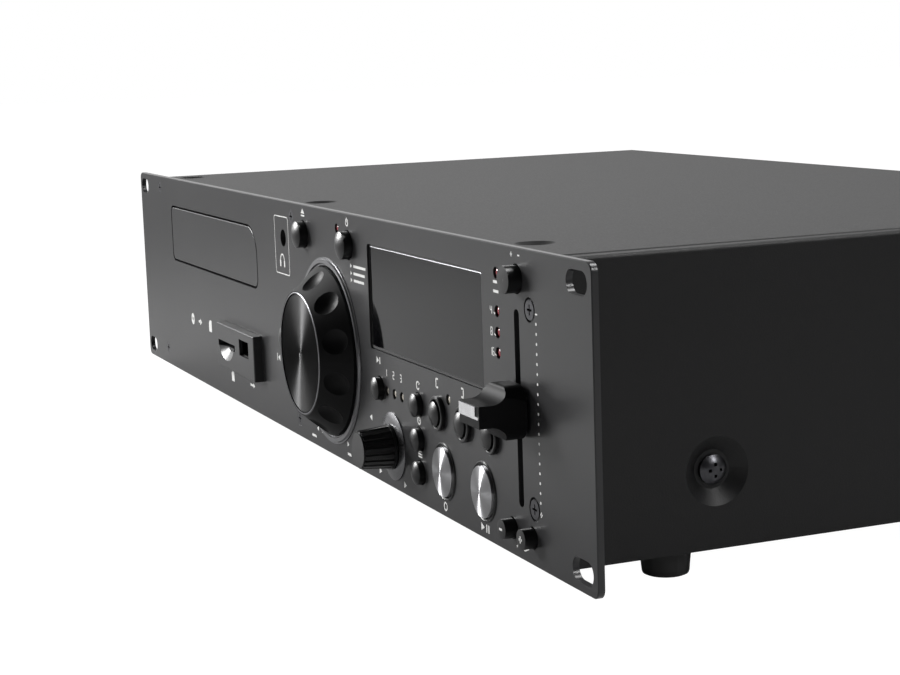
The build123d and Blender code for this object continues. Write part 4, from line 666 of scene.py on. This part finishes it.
def arc(x, height, radius, first=0, last=360, width=0.5, steps=20):
    """A round line of ink, from the first to the last angle in degrees."""
    angles = [radians(first + (last - first) * k / steps) for k in range(steps + 1)]
    inner, outer = radius - width / 2, radius + width / 2
    outlines = []
    for a, b in zip(angles, angles[1:]):
        rim = ((inner, a), (outer, a), (outer, b), (inner, b))
        outlines.append([(x + r * cos(t), height + r * sin(t)) for r, t in rim])
    return outlines


def arrow(x, height, size, way=1):
    """A solid arrow head that points right, or left where way is -1."""
    back, tip = x - way * size / 2, x + way * size / 2
    return [((back, height - size / 2), (back, height + size / 2), (tip, height))]


print("outlines of a ring", len(arc(0, 0, 1)))

# %% [markdown]
# Numbers are made as a seven-segment display makes them, from straight bars a to g, and the plus
# sign has one more upright bar, v. A font would have to be turned into a mesh, with more faces.

# %% Numbers
BARS = {"1": "bc", "2": "abdeg", "3": "abcdg", "4": "bcfg", "6": "acdefg", "8": "abcdefg"}
BARS |= {"-": "g", "+": "gv"}
ADVANCE, WIDTH, WEIGHT = 0.72, 0.5, 0.16


def numeral(text, x, height, size):
    """Numbers, plus and minus, set about x. ADVANCE, WIDTH and WEIGHT are shares of their size."""
    w, h = size * WIDTH, size / 2
    outlines = []
    for k, sign in enumerate(text):
        left = x + (k - len(text) / 2) * size * ADVANCE
        ends = {
            "a": ((left, height + h), (left + w, height + h)),
            "b": ((left + w, height), (left + w, height + h)),
            "c": ((left + w, height - h), (left + w, height)),
            "d": ((left, height - h), (left + w, height - h)),
            "e": ((left, height - h), (left, height)),
            "f": ((left, height), (left, height + h)),
            "g": ((left, height), (left + w, height)),
            "v": ((left + w / 2, height - w / 2), (left + w / 2, height + w / 2)),
        }
        for bar in BARS[sign]:
            outlines += stroke(*ends[bar], WEIGHT * size)
    return outlines


print("bars of an eight", len(numeral("8", 0, 0, 2)))

# %% [markdown]
# Now the signs are drawn, from left to right. Each stands beside the part that it explains: a
# disc, an arrow and a card for what the player reads, an eject sign over the drawer's key, and a
# headphone in its frame round the socket. Signs need no language, and simple strokes draw them.

# %% Signs of the left half
ink = []
ink += arc(-156, 27, 1.7, width=1.6)
ink += stroke((-146.4, 27), (-143.4, 27), 1.0)
ink += arrow(-142.4, 27, 3.0)
# Cards with one corner cut off, on the panel and under the card slot, and an arrow under the other
ink += [((-129.4, 24.6), (-125.0, 24.6), (-125.0, 29.6), (-128.0, 29.6), (-129.4, 28.2))]
ink += [((-97.0, 7.8), (-93.2, 7.8), (-93.2, 12.4), (-95.8, 12.4), (-97.0, 11.2))]
ink += stroke((-69.8, 10.3), (-65.6, 10.3), 0.9)
ink += arrow(-64.6, 10.3, 2.2)
# Skip back, and the eject sign of the drawer's key
ink += stroke((-30.6, 25.6), (-30.6, 28.4), 0.7)
ink += arrow(-28.4, 27.0, 2.6, -1)
ink += stroke((6.4, 84.1), (10.4, 84.1), 0.6)
ink += [((6.4, 84.9), (10.4, 84.9), (8.4, 86.7))]
# The headphone's frame: its corners have a radius of one millimetre
FRAME_LEFT, FRAME_RIGHT, FRAME_LOW, FRAME_HIGH, CORNER = -26.7, -10.0, 60.3, 82.0, 1.0
in_left, in_right = FRAME_LEFT + CORNER, FRAME_RIGHT - CORNER
in_low, in_high = FRAME_LOW + CORNER, FRAME_HIGH - CORNER
for height in (FRAME_LOW, FRAME_HIGH):
    ink += stroke((in_left, height), (in_right, height), 0.35)
for x in (FRAME_LEFT, FRAME_RIGHT):
    ink += stroke((x, in_low), (x, in_high), 0.35)
middles = ((in_right, in_high), (in_left, in_high), (in_left, in_low), (in_right, in_low))
for k, (x, height) in enumerate(middles):
    ink += arc(x, height, CORNER, 90 * k, 90 * k + 90, 0.35, 6)
ink += arc(-18.4, 65.3, 2.4, 0, 180, 0.6)
for x in (-20.8, -16.0):
    ink += stroke((x, 63.0), (x, 65.4), 1.3)
print("outlines so far", len(ink))

# %% [markdown]
# The middle of the panel has the jog wheel and the selector, with arrows round them that show
# which way to turn, and the small keys beside the window. Signs that differ only in place share
# a loop, so a change of size is made once.

# %% Signs of the middle
for x, way in ((15.5, -1), (21.0, 1), (48.7, 1)):
    ink += arrow(x, 6.8, 1.9, way)
for start, end, height in ((8.6, 13.4, 3.4), (47.6, 51.4, 3.3)):
    ink += stroke((start, height), (end, height), 0.9)
for x, height, way in ((80.8, 3.6, 1), (73.3, 20.6, -1), (103.6, 3.2, 1)):
    ink += arrow(x, height, 2.2, way)
# Power: an open ring with an upright stroke
ink += arc(56.5, 85.1, 1.2, 125, 415)
ink += stroke((56.5, 85.0), (56.5, 86.7))
# Three lines with arrow heads, for the ways of playing
for k, height in enumerate((70.5, 68.0, 65.6)):
    ink += arrow(59.2, height, 1.5)
    ink += stroke((61.5, height), (73.5 - k, height), 0.9)
# Skip forward, and the numbers over the three source lamps
ink += arrow(82.0, 41.3, 2.2)
ink += stroke((84.0, 40.2), (84.0, 42.4), 0.7)
for k, x in enumerate((89.7, 96.5, 103.2)):
    ink += numeral(str(k + 1), x, 38.1, 2.3)
# Repeat, time and program, one above the other
ink += arc(117.8, 38.1, 1.2, 30, 330)
ink += arrow(119.0, 38.9, 1.2)
ink += arc(117.8, 26.9, 1.2)
ink += lines([(117.8, 27.8), (117.8, 26.9), (118.5, 26.9)], 0.35)
for height in (15.2, 16.1, 17.0):
    ink += stroke((116.3, height), (119.3, height), 0.45)
print("outlines so far", len(ink))

# %% [markdown]
# On the right are the loop keys with their brackets, the ring and the play and pause bars of the
# two large keys, and everything that belongs to the fader: three ranges, its plus and minus ends,
# and a wave over the bend keys.

# %% Signs of the right half
for corner, way in ((133.3, 1), (154.9, -1)):
    ends = corner + 1.6 * way
    ink += lines([(ends, 42.6), (corner, 42.6), (corner, 40.0), (ends, 40.0)], 0.6)
ink += arc(175.1, 41.3, 1.2, 60, 360)
ink += arc(137.8, 3.4, 1.2)
ink += arrow(166.6, 3.4, 2.4)
for x in (169.4, 170.9):
    ink += stroke((x, 2.2), (x, 4.6), 0.7)
# Ranges of the fader, each with a short tick beside its lamp
for text, height in (("4", 68.9), ("8", 62.8), ("16", 57.0)):
    ink += numeral(text, 177.6, height, 2.2)
    ink += stroke((179.3, height - 0.5), (180.2, height - 0.9), 0.4)
for height in (77.2, 74.5):
    ink += stroke((179.4, height), (183.0, height), 0.8)
for sign, x, height, size in (
    ("+", 192.6, 86.0, 2.6), ("-", 197.4, 86.0, 2.6), ("-", 208.0, 71.0, 2.8), ("+", 208.0, 15.7, 3.0),
):
    ink += numeral(sign, x, height, size)
ink += lines([(190.5, 3.0), (193.0, 4.2), (196.0, 3.0), (199.0, 4.2)], 0.55)
print("outlines in all", len(ink))

# %% [markdown]
# A film of ink has a real thickness. A Solidify modifier could give it, but one extrusion of all
# outlines at once does the same with no modifier left to apply: it copies the faces, joins them to
# the first ones with side walls, and the copy is pushed towards the panel.

# %% Ink with thickness
INK_PROUD = 0.03
INK_THICKNESS = 0.027
# Screen ink: a matt white, slightly grey where the film is thin
screen_ink = finish(
    "white_screen_ink", 1.5, "#c9c9c7", "#d8d8d6", 0.15, 0.004, Roughness=0.55, IOR=1.5,
)


def slabs(name, outlines, proud, thickness):
    """A mesh with one thin slab for each outline, whose front stands proud of the panel."""
    made = bmesh.new()
    for outline in outlines:
        made.faces.new([made.verts.new(on_panel(x, height, proud)) for x, height in outline])
    backs = bmesh.ops.extrude_face_region(made, geom=made.faces[:], use_keep_orig=True)
    moved = [part for part in backs["geom"] if isinstance(part, bmesh.types.BMVert)]
    bmesh.ops.translate(made, verts=moved, vec=(0, thickness * MM, 0))
    bmesh.ops.recalc_face_normals(made, faces=made.faces)
    mesh = bpy.data.meshes.new(name)
    made.to_mesh(mesh)
    made.free()
    mesh.materials.append(screen_ink)
    return mesh


printing = new_object("panel_printing", slabs("panel_printing", ink, INK_PROUD, INK_THICKNESS))
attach(printing, "housing")
print("faces of the printing", len(printing.data.polygons))

# %% [markdown]
# Nineteen dots mark the fader's travel at even steps. What repeats by a rule is the work of
# Geometry Nodes: a line of points, one small disc on each, then real geometry and the ink. The
# tree has its sizes as named inputs, so the same tree serves another scale.

# %% Fader scale with Geometry Nodes
INPUTS = {"Count": "Int", "Step": "Float", "Radius": "Float", "Thickness": "Float"}
INPUTS |= {"Start": "Vector", "Ink": "Material"}
DISC_CORNERS = 14


def dot_scale():
    """A node group that lays discs of ink in a row along Z."""
    group = bpy.data.node_groups.new("dot_scale", "GeometryNodeTree")
    for name, kind in INPUTS.items():
        group.interface.new_socket(name, in_out="INPUT", socket_type="NodeSocket" + kind)
    group.interface.new_socket("Geometry", in_out="OUTPUT", socket_type="NodeSocketGeometry")
    given = add_node(group, "NodeGroupInput").outputs
    step = add_node(group, "ShaderNodeCombineXYZ", {"Z": given["Step"]})
    row = add_node(
        group, "GeometryNodeMeshLine",
        {"Count": given["Count"], "Start Location": given["Start"], "Offset": step.outputs[0]},
    )
    disc = add_node(
        group, "GeometryNodeMeshCylinder",
        {"Vertices": DISC_CORNERS, "Radius": given["Radius"], "Depth": given["Thickness"]},
    )
    upright = add_node(
        group, "GeometryNodeTransform",
        {"Geometry": disc.outputs["Mesh"], "Rotation": (pi / 2, 0, 0)},
    )
    copies = add_node(
        group, "GeometryNodeInstanceOnPoints", {"Points": row.outputs[0], "Instance": upright.outputs[0]}
    )
    real = add_node(group, "GeometryNodeRealizeInstances", {"Geometry": copies.outputs[0]})
    inked = add_node(
        group, "GeometryNodeSetMaterial", {"Geometry": real.outputs[0], "Material": given["Ink"]}
    )
    add_node(group, "NodeGroupOutput", {0: inked.outputs[0]})
    return group


print("inputs of the scale", *INPUTS)

# %% [markdown]
# The tree is used on an empty mesh. Its inputs are set by the identifiers of their sockets, and
# the result becomes the plain mesh of the piece, because the modifier is only a tool here.

# %% Dots of the scale
DOTS = 19
carrier = new_object("fader_scale", bpy.data.meshes.new("fader_scale"))
modifier = carrier.modifiers.new("dots", "NODES")
modifier.node_group = dot_scale()
sizes = {
    "Count": DOTS, "Step": -2.74 * MM, "Radius": 0.42 * MM, "Thickness": 0.02 * MM,
    "Start": on_panel(207.4, 68.3, 0.015), "Ink": screen_ink,
}
for item in modifier.node_group.interface.items_tree:
    if item.in_out == "INPUT":
        modifier[item.identifier] = sizes[item.name]
solid = bpy.data.meshes.new_from_object(carrier.evaluated_get(bpy.context.evaluated_depsgraph_get()))
carrier.modifiers.clear()
carrier.data = solid
solid.materials.clear()
solid.materials.append(screen_ink)
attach(carrier, "housing")
print("dots", len(solid.polygons) // (DISC_CORNERS + 2))

# %% [markdown]
# The two bend keys carry a raised minus and plus on their faces, in the same white. They move with
# their keys, so each sign is a piece of its own that rides on its key's body. A sign's strokes
# start left of its place, and a small shift brings it to the middle of the key.

# %% Signs on the bend keys
KEY_FACE = 3.93
SIGN_SIZE = 4.0
SIGN_SHIFT = 0.5
SIGN_THICKNESS = 0.15


def key_sign(name, body, x, height, sign):
    """One sign on the face of a key whose middle is at this place of the panel."""
    outlines = numeral(sign, x + SIGN_SHIFT, height, SIGN_SIZE)
    piece = new_object(name, slabs(name, outlines, KEY_FACE, SIGN_THICKNESS))
    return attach(piece, body)


key_sign("minus_sign", "bend_minus_button", 188.3, 7.9, "-")
key_sign("plus_sign", "bend_plus_button", 201.6, 7.9, "+")

# %% [markdown]
# Two bright lines come from edges, and both are painted highlights in grey metal. The window's
# bevel sits inside a matt black band, painted shade for the gap at its rim, and its grey strip
# stands for the light along its top; the jog wheel's plate has a thin grey ring at its rim for its
# bright edge. A bump can't make such an edge, so each is a closed strip: outlines of the same
# number of points, with a row of faces from each to the next and from the last to the first.

# %% Closed strips
def edge_strip(name, body, loops, materials):
    """A closed strip: faces join each outline to the next, with one material for each pair."""
    made = bmesh.new()
    rows = [[made.verts.new(point) for point in loop] for loop in loops]
    for first, second, kind in zip(rows, rows[1:] + rows[:1], materials):
        for j in range(len(first)):
            n = (j + 1) % len(first)
            face = made.faces.new((first[j], first[n], second[n], second[j]))
            face.material_index = kind
    bmesh.ops.recalc_face_normals(made, faces=made.faces)
    mesh = bpy.data.meshes.new(name)
    made.to_mesh(mesh)
    made.free()
    piece = new_object(name, mesh)
    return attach(piece, body)


# Grey metal on the edges of black parts: a painted highlight for a polished bevel's bright line,
# brightest where it faces the softbox
edge_highlight_metal = finish(
    "grey_edge_highlight", 4, "#646468", "#707074", 0.5, 0.001, Metallic=0.7, Roughness=0.3,
)
print("edge", edge_highlight_metal.name)

# %% [markdown]
# The outlines are rectangles with round corners. A circle is the same shape with corners as large
# as half its width, so one function serves the window and the wheel.

# %% Rounded outlines
def rounded(x, height, width, tall, radius, proud, steps=6):
    """The outline of a rectangle with round corners, on the panel."""
    points = []
    for corner, (across, up) in enumerate(((1, 1), (-1, 1), (-1, -1), (1, -1))):
        middle_x = x + across * (width / 2 - radius)
        middle_height = height + up * (tall / 2 - radius)
        for k in range(steps + 1):
            angle = radians(90 * corner + 90 * k / steps)
            place = (middle_x + radius * cos(angle), middle_height + radius * sin(angle))
            points.append(on_panel(*place, proud))
    return points


print("points of an outline", len(rounded(0, 0, 10, 10, 1, 0)))

# %% [markdown]
# The border's profile goes up from behind the window's face, over a flat black band, which is painted
# shade for the gap at the window's rim, up the bevel and down again. Each pair is how far in from
# the window's rim and how high over its face.

# %% Window border
WINDOW = (123.15, 61.9)
WINDOW_WIDTH, WINDOW_HEIGHT = 94.8, 34.5
WINDOW_CORNER = 1.3
WINDOW_DEPTH = -0.7
loops = []
for inset, lift in ((0.0, -0.05), (0.0, 0.04), (0.5, 0.04), (0.72, 0.18), (0.85, -0.05)):
    wide, tall = WINDOW_WIDTH - 2 * inset, WINDOW_HEIGHT - 2 * inset
    loops.append(rounded(*WINDOW, wide, tall, WINDOW_CORNER - inset / 2, WINDOW_DEPTH + lift))
# Painted shade and highlight: the border's rows are matt black rubber for the gap, the bevel's row grey
# metal for its bright line
window_edge = edge_strip("window_edge", "housing", loops, (0, 0, 1, 0, 0))
for material in (foot_rubber, edge_highlight_metal):
    window_edge.data.materials.append(material)
print("faces of the border", len(window_edge.data.polygons))

# %% [markdown]
# The grey metal ring, a painted highlight for the bright edge of the plate's rim, lies on the wheel
# round the plate, with its outer side sloping down. It turns with the wheel, so it rides on the
# wheel's body.

# %% Painted highlight ring of the jog wheel
JOG_PROUD = 11.1
loops = []
for radius, lift in ((21.2, -0.05), (21.2, 0.12), (21.4, 0.12), (21.75, -0.05)):
    loops.append(rounded(*JOG, 2 * radius, 2 * radius, radius, JOG_PROUD + lift, 20))
# Painted highlight: all four rows of the ring are grey metal, for the bright line at the plate's rim
jog_line = edge_strip("jog_plate_edge", "jog", loops, (0, 0, 0, 0))
jog_line.data.materials.append(edge_highlight_metal)
print("faces of the ring", len(jog_line.data.polygons))
